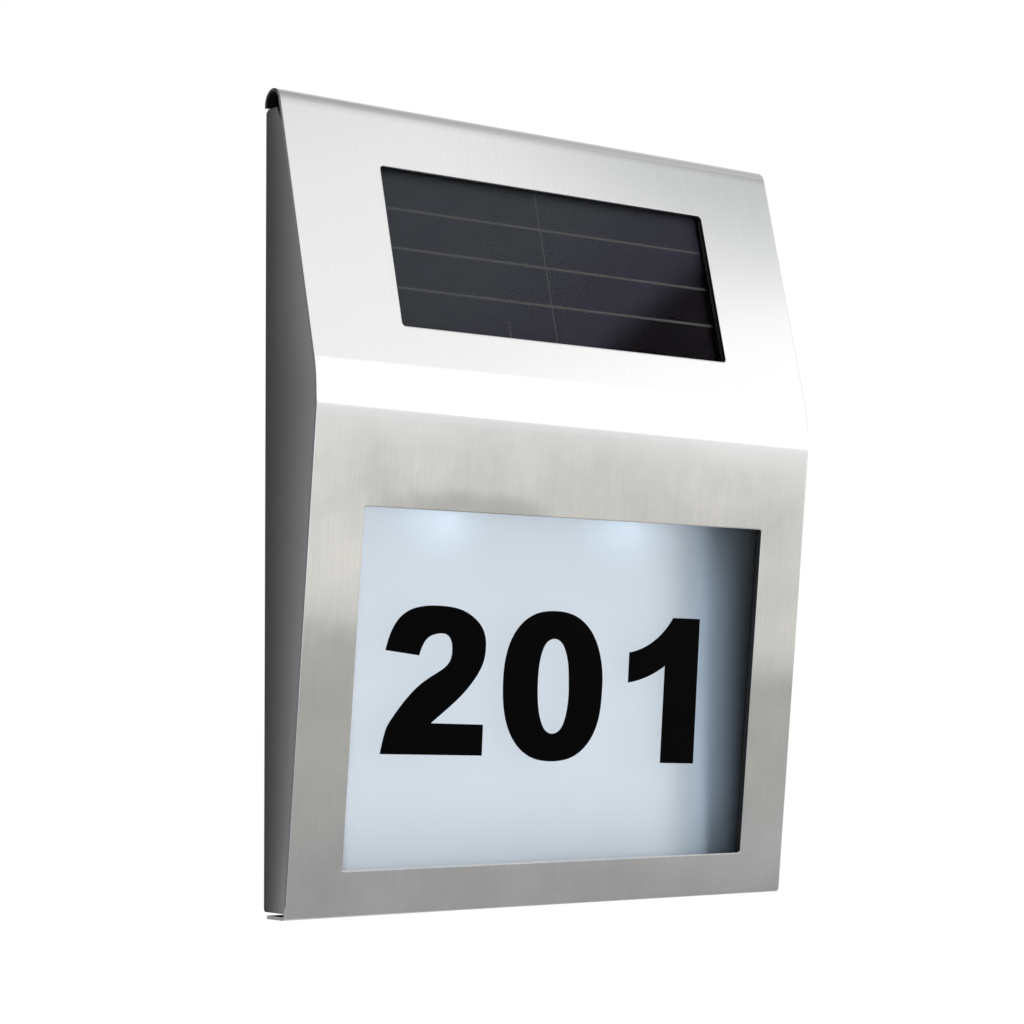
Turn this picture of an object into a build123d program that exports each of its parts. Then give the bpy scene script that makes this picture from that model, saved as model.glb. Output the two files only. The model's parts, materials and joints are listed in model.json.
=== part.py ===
from build123d import *
from math import cos, pi, radians, sin
import os

# Solar-lit house number: a folded stainless cover over a moulded housing.
# Millimetres. +Z is up, the front faces -Y and the wall is the plane Y = 0.
# The origin lies on the wall, midway between the two hanging keyholes.

# Front cover, one folded sheet. Tilts are positive where the top leans forward
cover_width = 155.0
sheet = 0.8
foot_depth = 10.1
lower_tilt = 6.4
band_length = 8.7
band_tilt = -2.65
upper_tilt = -13.5
foot_bend = 1.2
lower_bend = 12.0
upper_bend = 30.0
roll_radius = 3.5
roll_lip = 0.8
flange_gap = 2.2
key_above_bend = 25.64

# Windows in the cover, and the strips of sheet left beside, below and above them
number_height = 85.5
number_side = 14.85
number_low = 11.0
number_head = 22.6
number_corner = 0.6
solar_height = 41.4
solar_side = 26.1
solar_low = 12.7
solar_head = 13.9
solar_corner = 1.0

# Panels behind the windows
panel_margin = 3.0
panel_fit = 0.2
gasket_thick = 1.2
gasket_inset = 0.4
number_thick = 2.0
solar_cover_thick = 0.6
cell_thick = 0.25
cell_clear = 0.05
cell_margin = 0.2
cell_rise = 0.7
cell_gap = 0.4
cell_rows = 4
solar_board_thick = 1.6

# Numerals, drawn about the middle of the number on a grid of 36 units to the digit height
digit_height = 36.4
digit_grid = 36.0
digit_film = 0.2
digit_shift = -3.64
digit_rise = 0.5
zero_at = (1.6, 0.3)
zero_size = (30.9, 37.1)
zero_hole = (9.8, 23.4)
zero_fullness = 2.35
zero_slant = -0.05

# Housing
side_gap = 0.5
front_gap = 0.4
flange_clear = 0.7
lip_clear = 0.3
wall = 2.4
top_depth = 4.6
wedge_length = 6.4
edge_round = 0.8
back_chamfer = 0.8
seat_wall = 1.6
hook_rib = 1.8
hook_rib_rise = 1.2
hook_rib_inset = 8.0

# Light box behind the number
box_margin = 1.2
box_wall = 1.6
box_headroom = 6.0
reflector_thick = 0.8
reflector_clear = 0.3
reflector_side = 6.9
reflector_foot = 0.2
led_spacing = 58.0
led_radius = 2.5
led_body = 3.5
led_flange = 0.3
led_rim = 1.0
led_depth = 8.0
led_board_size = (90.0, 7.5, 1.0)

# Back plate, its seal and its screws
plate_thick = 2.5
plate_ledge = 1.2
plate_clear = 0.15
plate_corner = 2.0
seal_thick = 0.8
boss_radius = 3.5
boss_inset = 1.0
screw_radius = 1.4
screw_clear = 0.05
screw_reach = 7.0
countersink = 45.0
plate_head_radius = 2.7
plate_head_height = 1.5
plate_head_sink = 0.2
head_clear = 0.3
drive_length = 2.3
drive_width = 0.6
drive_depth = 0.7
foot_screw_rise = 9.4
bend_screw_drop = 12.4
top_screw_drop = 21.3

# Cover screws through dimples in the return flange
cover_screw_spacing = 90.0
cover_head_radius = 2.0
cover_screw_length = 7.5
dimple_clear = 0.15
dimple_seat = 0.1
cover_boss_radius = 3.2
cover_boss_height = 8.0

# Hanging keyholes with closed cups behind them
key_spacing = 100.0
key_radius = 4.0
key_slot = 4.0
key_rise = 9.0
cup_play = 1.8
cup_wall = 1.2
cup_depth = 4.5

# Battery bay and door
battery_radius = 7.25
battery_length = 50.5
nub_radius = 2.75
nub_length = 1.2
battery_round = 0.8
battery_drop = 26.0
bay_play = 0.35
bay_wall = 1.2
bay_end_wall = 1.5
contact_thick = 0.4
contact_size = 10.4
contact_bump = 0.6
contact_taper = 20.0
spring_wire = 0.4
spring_radius = 3.4
spring_turns = 4
spring_gap = 5.5
door_thick = 1.5
door_rim = 2.0
door_tab = 8.0
door_clear = 0.2
tongue_width = 10.0
tongue_length = 2.0
tongue_thick = 0.9
door_boss_radius = 3.0
door_boss_length = 6.0
door_head_radius = 2.2
door_head_height = 0.9
door_head_sink = 0.1
grip_width = 1.2
grip_depth = 0.5

# Control board and slide switch
control_size = (62.0, 19.0, 1.6)
control_rise = 4.5
chip_at = (-6.0, 0.0)
chip_size = (4.9, 3.9, 1.5)
chip_bevel = 0.3
coil_at = (8.0, -3.0)
coil_radius = 2.5
coil_length = 3.2
coil_rim = 0.7
can_at = (16.0, -4.0)
can_radius = 2.0
can_length = 3.6
can_round = 0.4
standoff_length = 4.2
standoff_radius = 2.4
standoff_inset = 4.0
board_screw_length = 4.6
board_head_radius = 2.3
board_head_height = 1.5
switch_x = 14.0
switch_up = 0.5
switch_travel = 3.0
switch_play = 0.35
switch_case_depth = 3.4
switch_case_wall = 0.7
slider_base = (5.4, 3.8, 1.2)
slider_stem = (3.4, 2.2)
slider_knob = (3.6, 4.4)
slider_sink = 0.5
finger_recess = (16.0, 10.0, 1.0)

# Wires inside the housing
lead_radius = 0.6
lead_clear = 0.2
lead_bend = 1.3
lead_pitch = 3.0


def lean(angle):
    """Up and outward directions of a panel whose top leans forward by angle degrees."""
    turn = radians(angle)
    return Vector(0, -sin(turn), cos(turn)), Vector(0, -cos(turn), -sin(turn))


def flat(point):
    """A point's place in the end view, the YZ plane."""
    return (point.Y, point.Z)


def behind(corner, out_below, out_above, depth):
    """The corner between two panels, moved inwards by depth at right angles to both."""
    return corner - (out_below + out_above) * (depth / (1 + out_below.dot(out_above)))


def at_height(point, up, height):
    """The point on a sloping line through point that lies at the given height."""
    return point + up * ((height - point.Z) / up.Z)


def at_wall(depth):
    """The plane parallel to the wall at a distance in front of it, facing the viewer."""
    return Plane.XZ.offset(depth)


# Windows and the cover's outer line, from the foot to the start of the rolled edge
number_width = cover_width - 2 * number_side
solar_width = cover_width - 2 * solar_side
lower_length = number_low + number_height + number_head
upper_length = solar_low + solar_height + solar_head
lower_up, lower_out = lean(lower_tilt)
band_up, band_out = lean(band_tilt)
upper_up, upper_out = lean(upper_tilt)
foot = Vector(0, -foot_depth, -lower_up.Z * lower_length - key_above_bend)
lower_corner = foot + lower_up * lower_length
upper_corner = lower_corner + band_up * band_length
roll_start = upper_corner + upper_up * upper_length
roll_centre = roll_start - upper_out * roll_radius
roll_back = roll_centre + Vector(0, roll_radius, 0)
lip_end = roll_back - Vector(0, 0, roll_lip)

# Planes on the cover's outer face, centred on each window
number_centre = foot + lower_up * (number_low + number_height / 2)
solar_centre = upper_corner + upper_up * (solar_low + solar_height / 2)
number_plane = Plane(number_centre, x_dir=(1, 0, 0), z_dir=lower_out)
solar_plane = Plane(solar_centre, x_dir=(1, 0, 0), z_dir=upper_out)

# Depths behind the cover's outer face
panel_depth = sheet + gasket_thick
number_seat = panel_depth + number_thick
solar_stack = solar_cover_thick + cell_clear + cell_thick + solar_board_thick
solar_seat = panel_depth + solar_stack
housing_depth = sheet + front_gap

# Outer sizes of the panels
number_panel_size = (number_width + 2 * panel_margin, number_height + 2 * panel_margin)
solar_panel_size = (solar_width + 2 * panel_margin, solar_height + 2 * panel_margin)

# Housing limits
housing_width = cover_width - 2 * side_gap
housing_low = foot.Z + sheet + flange_clear
housing_top = lip_end.Z - lip_clear
housing_mid = (housing_low + housing_top) / 2
rebate_depth = plate_thick + seal_thick
rebate_width = housing_width - 2 * (wall - plate_ledge)
rebate_height = housing_top - housing_low - 2 * (wall - plate_ledge)
rebate_corner = plate_corner + plate_clear

# Light box, as seen from the front
box_half = number_width / 2 + box_margin
box_low = number_centre.Z - lower_up.Z * number_height / 2 - box_margin
box_top = number_centre.Z + lower_up.Z * number_height / 2 + box_headroom
box_size = (2 * box_half, box_top - box_low)
box_mid = (box_low + box_top) / 2
box_rear = rebate_depth + reflector_clear
led_places = [(-led_spacing / 2, 0), (led_spacing / 2, 0)]

# Screw places
boss_x = housing_width / 2 - wall - boss_inset - boss_radius
screw_rows = [foot.Z + foot_screw_rise, lower_corner.Z - bend_screw_drop, housing_top - top_screw_drop]
plate_screws_at = [(side * boss_x, row) for side in (-1, 1) for row in screw_rows]
cover_screw_y = -(foot_depth - foot_bend + flange_gap) / 2
cover_screws_at = [(side * cover_screw_spacing / 2, cover_screw_y) for side in (-1, 1)]
keys_at = [(-key_spacing / 2, 0), (key_spacing / 2, 0)]
standoff_x = control_size[0] / 2 - standoff_inset
standoffs_at = [(side * standoff_x, control_rise) for side in (-1, 1)]

# Battery bay, midway between its door and the front of the housing at the bend
bay_radius = battery_radius + bay_play
bay_length = battery_length + spring_gap + 2 * contact_thick + contact_bump
bay_half = bay_length / 2
bay_front = -behind(lower_corner, lower_out, band_out, housing_depth + wall).Y
battery_depth = (door_thick + bay_front - bay_play - bay_wall) / 2
battery_end = bay_half - contact_thick - contact_bump
door_screw_at = (bay_half + bay_end_wall + door_boss_radius, -battery_drop)
door_left = -bay_half - door_rim
door_right = bay_half + door_rim + door_tab
door_length = door_right - door_left
door_mid = (door_left + door_right) / 2
door_height = 2 * (bay_radius + door_rim)

# Control board and switch depths
board_rear = plate_thick + standoff_length
board_front = board_rear + control_size[2]
switch_z = control_rise + switch_up
switch_at = (switch_x, switch_z)
slide_room = (slider_base[0] + switch_travel + 2 * switch_play, slider_base[1] + 2 * switch_play)
case_rear = board_rear - switch_case_depth
slider_at = (switch_x - switch_travel / 2, switch_z)
slider_floor = board_rear - switch_case_wall - switch_play


def front_line(depth, low, short):
    """The end view's front edge at a depth behind the cover, up to short of the rolled edge."""
    return [
        flat(at_height(foot - lower_out * depth, lower_up, low)),
        flat(behind(lower_corner, lower_out, band_out, depth)),
        flat(behind(upper_corner, band_out, upper_out, depth)),
        flat(roll_start - upper_up * short - upper_out * depth),
    ]


# Front cover: rolled top edge, two bends, two windows and a return flange with dimpled screw holes
with BuildPart() as front_cover:
    with BuildSketch(Plane.YZ):
        with BuildLine():
            face_line = FilletPolyline(
                (-flange_gap, foot.Z),
                flat(foot),
                flat(lower_corner),
                flat(upper_corner),
                flat(roll_start),
                radius=[foot_bend, lower_bend, upper_bend],
            )
            roll_line = TangentArc(face_line @ 1, flat(roll_back), tangent=face_line % 1)
            Line(roll_line @ 1, flat(lip_end))
            offset(amount=sheet, side=Side.RIGHT)
        make_face()
    extrude(amount=cover_width / 2, both=True)
    with BuildSketch(number_plane):
        RectangleRounded(number_width, number_height, number_corner)
    with BuildSketch(solar_plane):
        RectangleRounded(solar_width, solar_height, solar_corner)
    extrude(amount=2 * sheet, both=True, mode=Mode.SUBTRACT)
    dimple_height = sheet + flange_clear - dimple_seat
    dimple_mouth = cover_head_radius + dimple_clear
    dimple_skin = sheet / cos(radians(countersink))
    with BuildSketch(Plane.XY.offset(foot.Z)):
        with Locations(*cover_screws_at):
            Circle(dimple_mouth + dimple_skin)
    extrude(amount=dimple_height, taper=countersink)
    with BuildSketch(Plane.XY.offset(foot.Z)):
        with Locations(*cover_screws_at):
            Circle(dimple_mouth)
    extrude(amount=dimple_height, taper=countersink, mode=Mode.SUBTRACT)
    with BuildSketch(Plane.XY.offset(foot.Z)):
        with Locations(*cover_screws_at):
            Circle(screw_radius + dimple_clear)
    extrude(amount=dimple_height, mode=Mode.SUBTRACT)

# Countersunk cover screws, heads flush with the flange
with BuildPart() as cover_screws:
    with BuildSketch(Plane.XY.offset(foot.Z + dimple_seat)):
        with Locations(*cover_screws_at):
            Circle(cover_head_radius)
    extrude(amount=cover_head_radius - screw_radius, taper=countersink)
    with BuildSketch(Plane.XY.offset(foot.Z + dimple_seat)):
        with Locations(*cover_screws_at):
            Circle(screw_radius)
    extrude(amount=cover_screw_length)
    with BuildSketch(Plane.XY.offset(foot.Z + dimple_seat)):
        with Locations(*cover_screws_at):
            Rectangle(drive_length, drive_width)
            Rectangle(drive_width, drive_length)
    extrude(amount=drive_depth, mode=Mode.SUBTRACT)

# The space inside the housing, with the walls, seats and bosses that stay standing in it
with BuildPart() as housing_core:
    with BuildSketch(Plane.YZ):
        with BuildLine():
            Polyline(
                (0, housing_low + wall),
                *front_line(housing_depth + wall, housing_low + wall, wedge_length + wall),
                (wall - top_depth, housing_top - wall),
                (0, housing_top - wall),
                close=True,
            )
        make_face()
    extrude(amount=housing_width / 2 - wall, both=True)
    # Panel seats
    with BuildSketch(number_plane):
        Rectangle(*(size + 2 * (panel_fit + seat_wall) for size in number_panel_size))
    extrude(amount=-(number_seat + seat_wall), mode=Mode.SUBTRACT)
    with BuildSketch(solar_plane):
        Rectangle(*(size + 2 * (panel_fit + seat_wall) for size in solar_panel_size))
    extrude(amount=-(solar_seat + seat_wall), mode=Mode.SUBTRACT)
    # Light box walls
    with BuildSketch(at_wall(box_rear)):
        with Locations((0, box_mid)):
            Rectangle(*(size + 2 * box_wall for size in box_size))
            Rectangle(*box_size, mode=Mode.SUBTRACT)
    extrude(amount=lower_length, mode=Mode.SUBTRACT)
    # Bosses for the back plate's screws
    with BuildSketch(Plane.XZ):
        with Locations(*plate_screws_at):
            Circle(boss_radius)
    extrude(amount=lower_length, mode=Mode.SUBTRACT)
    # Bosses for the cover's screws
    with BuildSketch(Plane.XY.offset(housing_low)):
        with Locations(*cover_screws_at):
            Circle(cover_boss_radius)
    extrude(amount=cover_boss_height, mode=Mode.SUBTRACT)

# Moulded housing
with BuildPart() as housing:
    with BuildSketch(Plane.YZ):
        with BuildLine():
            Polyline(
                (0, housing_low),
                *front_line(housing_depth, housing_low, wedge_length),
                (-top_depth, housing_top),
                (0, housing_top),
                close=True,
            )
        make_face()
        fillet(vertices().group_by(Axis.Y)[0], radius=edge_round)
        chamfer(vertices().group_by(Axis.Y)[-1].sort_by(Axis.X)[-1], length=back_chamfer)
    extrude(amount=housing_width / 2, both=True)
    add(housing_core.part, mode=Mode.SUBTRACT)
    # Rebate for the back plate and its seal
    with BuildSketch(Plane.XZ):
        with Locations((0, housing_mid)):
            RectangleRounded(rebate_width, rebate_height, rebate_corner)
    extrude(amount=rebate_depth, mode=Mode.SUBTRACT)
    # Seats and light openings for the two panels
    with BuildSketch(number_plane):
        Rectangle(*(size + 2 * panel_fit for size in number_panel_size))
    extrude(amount=-number_seat, mode=Mode.SUBTRACT)
    with BuildSketch(number_plane):
        Rectangle(number_width + 2 * box_margin, number_height + 2 * box_margin)
    extrude(amount=-(number_seat + 2 * seat_wall), mode=Mode.SUBTRACT)
    with BuildSketch(solar_plane):
        Rectangle(*(size + 2 * panel_fit for size in solar_panel_size))
    extrude(amount=-solar_seat, mode=Mode.SUBTRACT)
    with BuildSketch(solar_plane):
        RectangleRounded(solar_width, solar_height, solar_corner)
    extrude(amount=-(solar_seat + 2 * seat_wall), mode=Mode.SUBTRACT)
    # Pilot holes
    with BuildSketch(Plane.XZ):
        with Locations(*plate_screws_at):
            Circle(screw_radius + screw_clear)
    extrude(amount=plate_head_sink + plate_head_height + screw_reach + head_clear, mode=Mode.SUBTRACT)
    with BuildSketch(Plane.XY.offset(housing_low)):
        with Locations(*cover_screws_at):
            Circle(screw_radius + screw_clear)
    extrude(amount=cover_screw_length, mode=Mode.SUBTRACT)
    # Rib that carries the cover's rolled edge
    with BuildSketch(Plane.XY.offset(housing_top)):
        with Locations((0, roll_centre.Y)):
            Rectangle(cover_width - 2 * hook_rib_inset, hook_rib)
    extrude(amount=roll_centre.Z + hook_rib_rise - housing_top)
    # Ways for the light-emitting diodes' wires through the roof of the light box
    leads_x = -led_board_size[0] / 2 + lead_pitch
    leads_y = -(led_depth + led_board_size[1] / 2 - lead_pitch / 2)
    with BuildSketch(Plane.XY.offset(box_top)):
        with Locations((leads_x, leads_y), (leads_x + lead_pitch, leads_y)):
            Circle(lead_radius + lead_clear)
    extrude(amount=box_wall, mode=Mode.SUBTRACT)


def foam_frame(plane, size, window):
    """Foam frame between the sheet and a panel, kept back from the window's edge."""
    with BuildPart() as frame:
        with BuildSketch(plane.offset(-sheet)):
            Rectangle(*size)
            Rectangle(*(width + 2 * gasket_inset for width in window), mode=Mode.SUBTRACT)
        extrude(amount=-gasket_thick)
    return frame


number_gasket = foam_frame(number_plane, number_panel_size, (number_width, number_height))
solar_gasket = foam_frame(solar_plane, solar_panel_size, (solar_width, solar_height))

# Frosted panel
with BuildPart() as number_panel:
    with BuildSketch(number_plane.offset(-panel_depth)):
        RectangleRounded(*number_panel_size, number_corner)
    extrude(amount=-number_thick)

# Numerals, cut from thin film
unit = digit_height / digit_grid
film_middle = number_plane.from_local_coords((digit_shift, digit_rise, -panel_depth))
film_plane = Plane(film_middle, x_dir=(1, 0, 0), z_dir=lower_out)


def on_grid(*points):
    """Grid points in millimetres."""
    return [(x * unit, y * unit) for x, y in points]


def squared_oval(width, height):
    """Grid points of the zero's slanted oval, fuller at the shoulders than an ellipse."""
    turns = [2 * pi * step / 16 for step in range(16)]
    power = 2 / zero_fullness
    rises = [height / 2 * abs(sin(turn)) ** power * (1 if sin(turn) > 0 else -1) for turn in turns]
    reaches = [width / 2 * abs(cos(turn)) ** power * (1 if cos(turn) > 0 else -1) for turn in turns]
    return [
        (zero_at[0] + reach + zero_slant * rise, zero_at[1] + rise) for reach, rise in zip(reaches, rises)
    ]


with BuildPart() as digit_two:
    with BuildSketch(film_plane):
        with BuildLine():
            Polyline(*on_grid((-48.6, -15.9), (-19.0, -16.6), (-19.2, -9.1), (-34.6, -8.7)))
            Spline(
                *on_grid((-34.6, -8.7), (-25.6, -1.5), (-20.4, 5.6), (-19.8, 9.5)),
                tangents=((1, 0.8), (0, 1)),
            )
            Spline(*on_grid((-19.8, 9.5), (-23.7, 16.6), (-35.0, 19.3)), tangents=((0, 1), (-1, 0)))
            Spline(*on_grid((-35.0, 19.3), (-45.6, 15.9), (-48.8, 8.5)), tangents=((-1, 0), (-0.2, -1)))
            Line(*on_grid((-48.8, 8.5), (-39.2, 7.4)))
            Spline(*on_grid((-39.2, 7.4), (-34.4, 12.6), (-29.6, 8.4)), tangents=((0.26, 1), (0, -1)))
            Spline(
                *on_grid((-29.6, 8.4), (-33.1, 3.6), (-38.7, 0.2), (-46.0, -7.8), (-48.6, -15.9)),
                tangents=((0, -1), (-0.17, -1)),
            )
        make_face()
    extrude(amount=digit_film)

with BuildPart() as digit_zero:
    with BuildSketch(film_plane):
        with BuildLine():
            Spline(*on_grid(*squared_oval(*zero_size)), periodic=True)
        make_face()
        with BuildLine():
            Spline(*on_grid(*squared_oval(*zero_hole)), periodic=True)
        make_face(mode=Mode.SUBTRACT)
    extrude(amount=digit_film)

with BuildPart() as digit_one:
    with BuildSketch(film_plane):
        with BuildLine():
            Polyline(*on_grid((37.2, 5.8), (37.7, -19.1), (48.8, -19.4), (47.9, 17.9), (39.0, 18.0)))
            ThreePointArc(*on_grid((39.0, 18.0), (34.2, 12.8), (25.2, 9.0)))
            Line(*on_grid((25.2, 9.0), (25.4, 1.4)))
            ThreePointArc(*on_grid((25.4, 1.4), (31.7, 3.0), (37.2, 5.8)))
        make_face()
    extrude(amount=digit_film)

# Solar panel: clear cover, cell strips and their board
with BuildPart() as solar_cover:
    with BuildSketch(solar_plane.offset(-panel_depth)):
        Rectangle(*solar_panel_size)
    extrude(amount=-solar_cover_thick)

cell_depth = panel_depth + solar_cover_thick + cell_clear
cell_length = solar_width - 2 * cell_margin
cell_pitch = (solar_height - 2 * cell_margin + cell_gap) / cell_rows
with BuildPart() as solar_cells:
    with BuildSketch(solar_plane.offset(-cell_depth)):
        with Locations((0, cell_rise)):
            with GridLocations(0, cell_pitch, 1, cell_rows):
                Rectangle(cell_length, cell_pitch - cell_gap)
    extrude(amount=-cell_thick)

with BuildPart() as solar_board:
    with BuildSketch(solar_plane.offset(-cell_depth - cell_thick)):
        Rectangle(*solar_panel_size)
    extrude(amount=-solar_board_thick)

# Back plate with keyholes, battery bay, switch window and board standoffs
with BuildPart() as back_plate:
    with BuildSketch(Plane.XZ):
        with Locations((0, housing_mid)):
            RectangleRounded(rebate_width - 2 * plate_clear, rebate_height - 2 * plate_clear, plate_corner)
    extrude(amount=plate_thick)
    # Cups behind the keyholes
    cup_play_radius = key_radius + cup_play
    with BuildSketch(at_wall(plate_thick)):
        with Locations(*((x, z + key_rise / 2) for x, z in keys_at)):
            SlotCenterToCenter(key_rise, 2 * (cup_play_radius + cup_wall), rotation=90)
    extrude(amount=cup_depth + cup_wall)
    with BuildSketch(at_wall(plate_thick)):
        with Locations(*((x, z + key_rise / 2) for x, z in keys_at)):
            SlotCenterToCenter(key_rise, 2 * cup_play_radius, rotation=90)
    extrude(amount=cup_depth, mode=Mode.SUBTRACT)
    # Keyholes: a round entry with a narrower slot above it
    with BuildSketch(Plane.XZ):
        with Locations(*keys_at):
            Circle(key_radius)
        with Locations(*((x, z + key_rise / 2) for x, z in keys_at)):
            SlotCenterToCenter(key_rise, key_slot, rotation=90)
    extrude(amount=plate_thick, mode=Mode.SUBTRACT)
    # Round-bottomed battery bay
    with BuildSketch(Plane.YZ):
        with Locations((-battery_depth, -battery_drop)):
            Circle(bay_radius + bay_wall)
        with Locations((-(plate_thick + battery_depth) / 2, -battery_drop)):
            Rectangle(battery_depth - plate_thick, 2 * (bay_radius + bay_wall))
    extrude(amount=bay_half + bay_end_wall, both=True)
    with BuildSketch(at_wall(plate_thick)):
        with Locations(door_screw_at):
            Circle(door_boss_radius)
    extrude(amount=door_boss_length)
    with BuildSketch(Plane.YZ):
        with Locations((-battery_depth, -battery_drop)):
            Circle(bay_radius)
        with Locations((-battery_depth / 2, -battery_drop)):
            Rectangle(battery_depth, 2 * bay_radius)
    extrude(amount=bay_half, both=True, mode=Mode.SUBTRACT)
    # Seat, tongue slot and pilot hole for the battery door
    with BuildSketch(Plane.XZ):
        with Locations((door_mid, -battery_drop)):
            Rectangle(door_length + 2 * door_clear, door_height + 2 * door_clear)
    extrude(amount=door_thick, mode=Mode.SUBTRACT)
    with BuildSketch(at_wall(door_thick - door_clear / 2)):
        with Locations((door_left + (door_rim - tongue_length) / 2, -battery_drop)):
            Rectangle(door_rim + tongue_length + 2 * door_clear, tongue_width + 2 * door_clear)
    extrude(amount=plate_thick - door_thick + door_clear / 2, mode=Mode.SUBTRACT)
    with BuildSketch(Plane.XZ):
        with Locations(door_screw_at):
            Circle(screw_radius + screw_clear)
    extrude(amount=plate_thick + door_boss_length - bay_wall, mode=Mode.SUBTRACT)
    # Ways for the battery's wires through the bay's end walls
    with BuildSketch(Plane.YZ):
        with Locations((-battery_depth, -battery_drop + contact_size / 2 - lead_pitch / 2)):
            Circle(lead_radius + lead_clear)
    extrude(amount=bay_half + bay_end_wall, both=True, mode=Mode.SUBTRACT)
    # Finger recess and window for the switch
    with BuildSketch(Plane.XZ):
        with Locations(switch_at):
            RectangleRounded(finger_recess[0], finger_recess[1], plate_corner)
    extrude(amount=finger_recess[2], mode=Mode.SUBTRACT)
    with BuildSketch(Plane.XZ):
        with Locations(switch_at):
            Rectangle(slider_knob[0] + switch_travel + 2 * switch_play, slider_knob[1] + 2 * switch_play)
    extrude(amount=plate_thick, mode=Mode.SUBTRACT)
    # Standoffs for the control board
    with BuildSketch(at_wall(plate_thick)):
        with Locations(*standoffs_at):
            Circle(standoff_radius)
            Circle(screw_radius + screw_clear, mode=Mode.SUBTRACT)
    extrude(amount=standoff_length)
    # Counterbored screw holes
    with BuildSketch(Plane.XZ):
        with Locations(*plate_screws_at):
            Circle(screw_radius + head_clear)
    extrude(amount=plate_thick, mode=Mode.SUBTRACT)
    with BuildSketch(Plane.XZ):
        with Locations(*plate_screws_at):
            Circle(plate_head_radius + head_clear)
    extrude(amount=plate_head_sink + plate_head_height, mode=Mode.SUBTRACT)

# Flat seal in the housing's rebate, under the back plate
with BuildPart() as back_gasket:
    with BuildSketch(at_wall(plate_thick)):
        with Locations((0, housing_mid)):
            RectangleRounded(rebate_width - 2 * plate_clear, rebate_height - 2 * plate_clear, plate_corner)
            Rectangle(rebate_width - 2 * plate_ledge, rebate_height - 2 * plate_ledge, mode=Mode.SUBTRACT)
    extrude(amount=seal_thick)


def pan_screws(places, head_at, head_radius, head_height, reach, way):
    """Pan-head screws along the wall's normal: head underside at head_at, shank running the given way."""
    with BuildPart() as screws:
        with BuildSketch(at_wall(head_at)):
            with Locations(*places):
                Circle(head_radius)
        extrude(amount=-way * head_height)
        rims = screws.edges().filter_by(GeomType.CIRCLE).sort_by(Axis.Y)
        outer_rims = rims[-len(places):] if way > 0 else rims[:len(places)]
        fillet(outer_rims, radius=head_height / 3)
        with BuildSketch(at_wall(head_at)):
            with Locations(*places):
                Circle(screw_radius)
        extrude(amount=way * reach)
        with BuildSketch(at_wall(head_at - way * head_height)):
            with Locations(*places):
                Rectangle(drive_length * head_radius / cover_head_radius, drive_width)
                Rectangle(drive_width, drive_length * head_radius / cover_head_radius)
        extrude(amount=way * drive_depth, mode=Mode.SUBTRACT)
    return screws


back_plate_screws = pan_screws(
    plate_screws_at,
    plate_head_sink + plate_head_height,
    plate_head_radius,
    plate_head_height,
    screw_reach,
    1,
)
board_screws = pan_screws(
    standoffs_at,
    board_front,
    board_head_radius,
    board_head_height,
    board_screw_length,
    -1,
)
battery_door_screw = pan_screws(
    [door_screw_at],
    door_head_sink + door_head_height,
    door_head_radius,
    door_head_height,
    door_boss_length,
    1,
)

# White reflector on the inside of the back plate
with BuildPart() as reflector:
    reflector_size = (2 * (box_half - reflector_side), box_size[1] + box_wall - reflector_foot)
    with BuildSketch(at_wall(plate_thick)):
        with Locations((0, box_mid + (box_wall + reflector_foot) / 2)):
            Rectangle(*reflector_size)
    extrude(amount=reflector_thick)

# Lamp board under the roof of the light box, with two dome lamps
with BuildPart() as led_board:
    with BuildSketch(Plane.XY.offset(box_top)):
        with Locations((0, -led_depth)):
            Rectangle(led_board_size[0], led_board_size[1])
    extrude(amount=-led_board_size[2])

led_top = box_top - led_board_size[2]
with BuildPart() as leds:
    with BuildSketch(Plane.XY.offset(led_top)):
        with Locations(*((x, y - led_depth) for x, y in led_places)):
            Circle(led_radius + led_flange)
    extrude(amount=-led_rim)
    with BuildSketch(Plane.XY.offset(led_top)):
        with Locations(*((x, y - led_depth) for x, y in led_places)):
            Circle(led_radius)
    extrude(amount=-led_body)
    with Locations(*((x, y - led_depth, led_top - led_body) for x, y in led_places)):
        Sphere(led_radius)

# Control board with its few parts on the side away from the wall
with BuildPart() as control_board:
    with BuildSketch(at_wall(board_rear)):
        with Locations((0, control_rise)):
            Rectangle(control_size[0], control_size[1])
        with Locations(*standoffs_at):
            Circle(screw_radius + head_clear, mode=Mode.SUBTRACT)
    extrude(amount=control_size[2])

with BuildPart() as control_chip:
    with BuildSketch(at_wall(board_front)):
        with Locations((chip_at[0], control_rise + chip_at[1])):
            Rectangle(chip_size[0], chip_size[1])
    extrude(amount=chip_size[2])
    chamfer(control_chip.faces().sort_by(Axis.Y)[0].edges(), length=chip_bevel)

with BuildPart() as boost_coil:
    with BuildSketch(at_wall(board_front)):
        with Locations((coil_at[0], control_rise + coil_at[1])):
            Circle(coil_radius)
    extrude(amount=coil_length)
    with BuildSketch(at_wall(board_front + coil_rim)):
        with Locations((coil_at[0], control_rise + coil_at[1])):
            Circle(coil_radius)
            Circle(coil_radius - coil_rim, mode=Mode.SUBTRACT)
    extrude(amount=coil_length - 2 * coil_rim, mode=Mode.SUBTRACT)

with BuildPart() as charge_capacitor:
    with BuildSketch(at_wall(board_front)):
        with Locations((can_at[0], control_rise + can_at[1])):
            Circle(can_radius)
    extrude(amount=can_length)
    fillet(charge_capacitor.faces().sort_by(Axis.Y)[0].edges(), radius=can_round)

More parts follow.
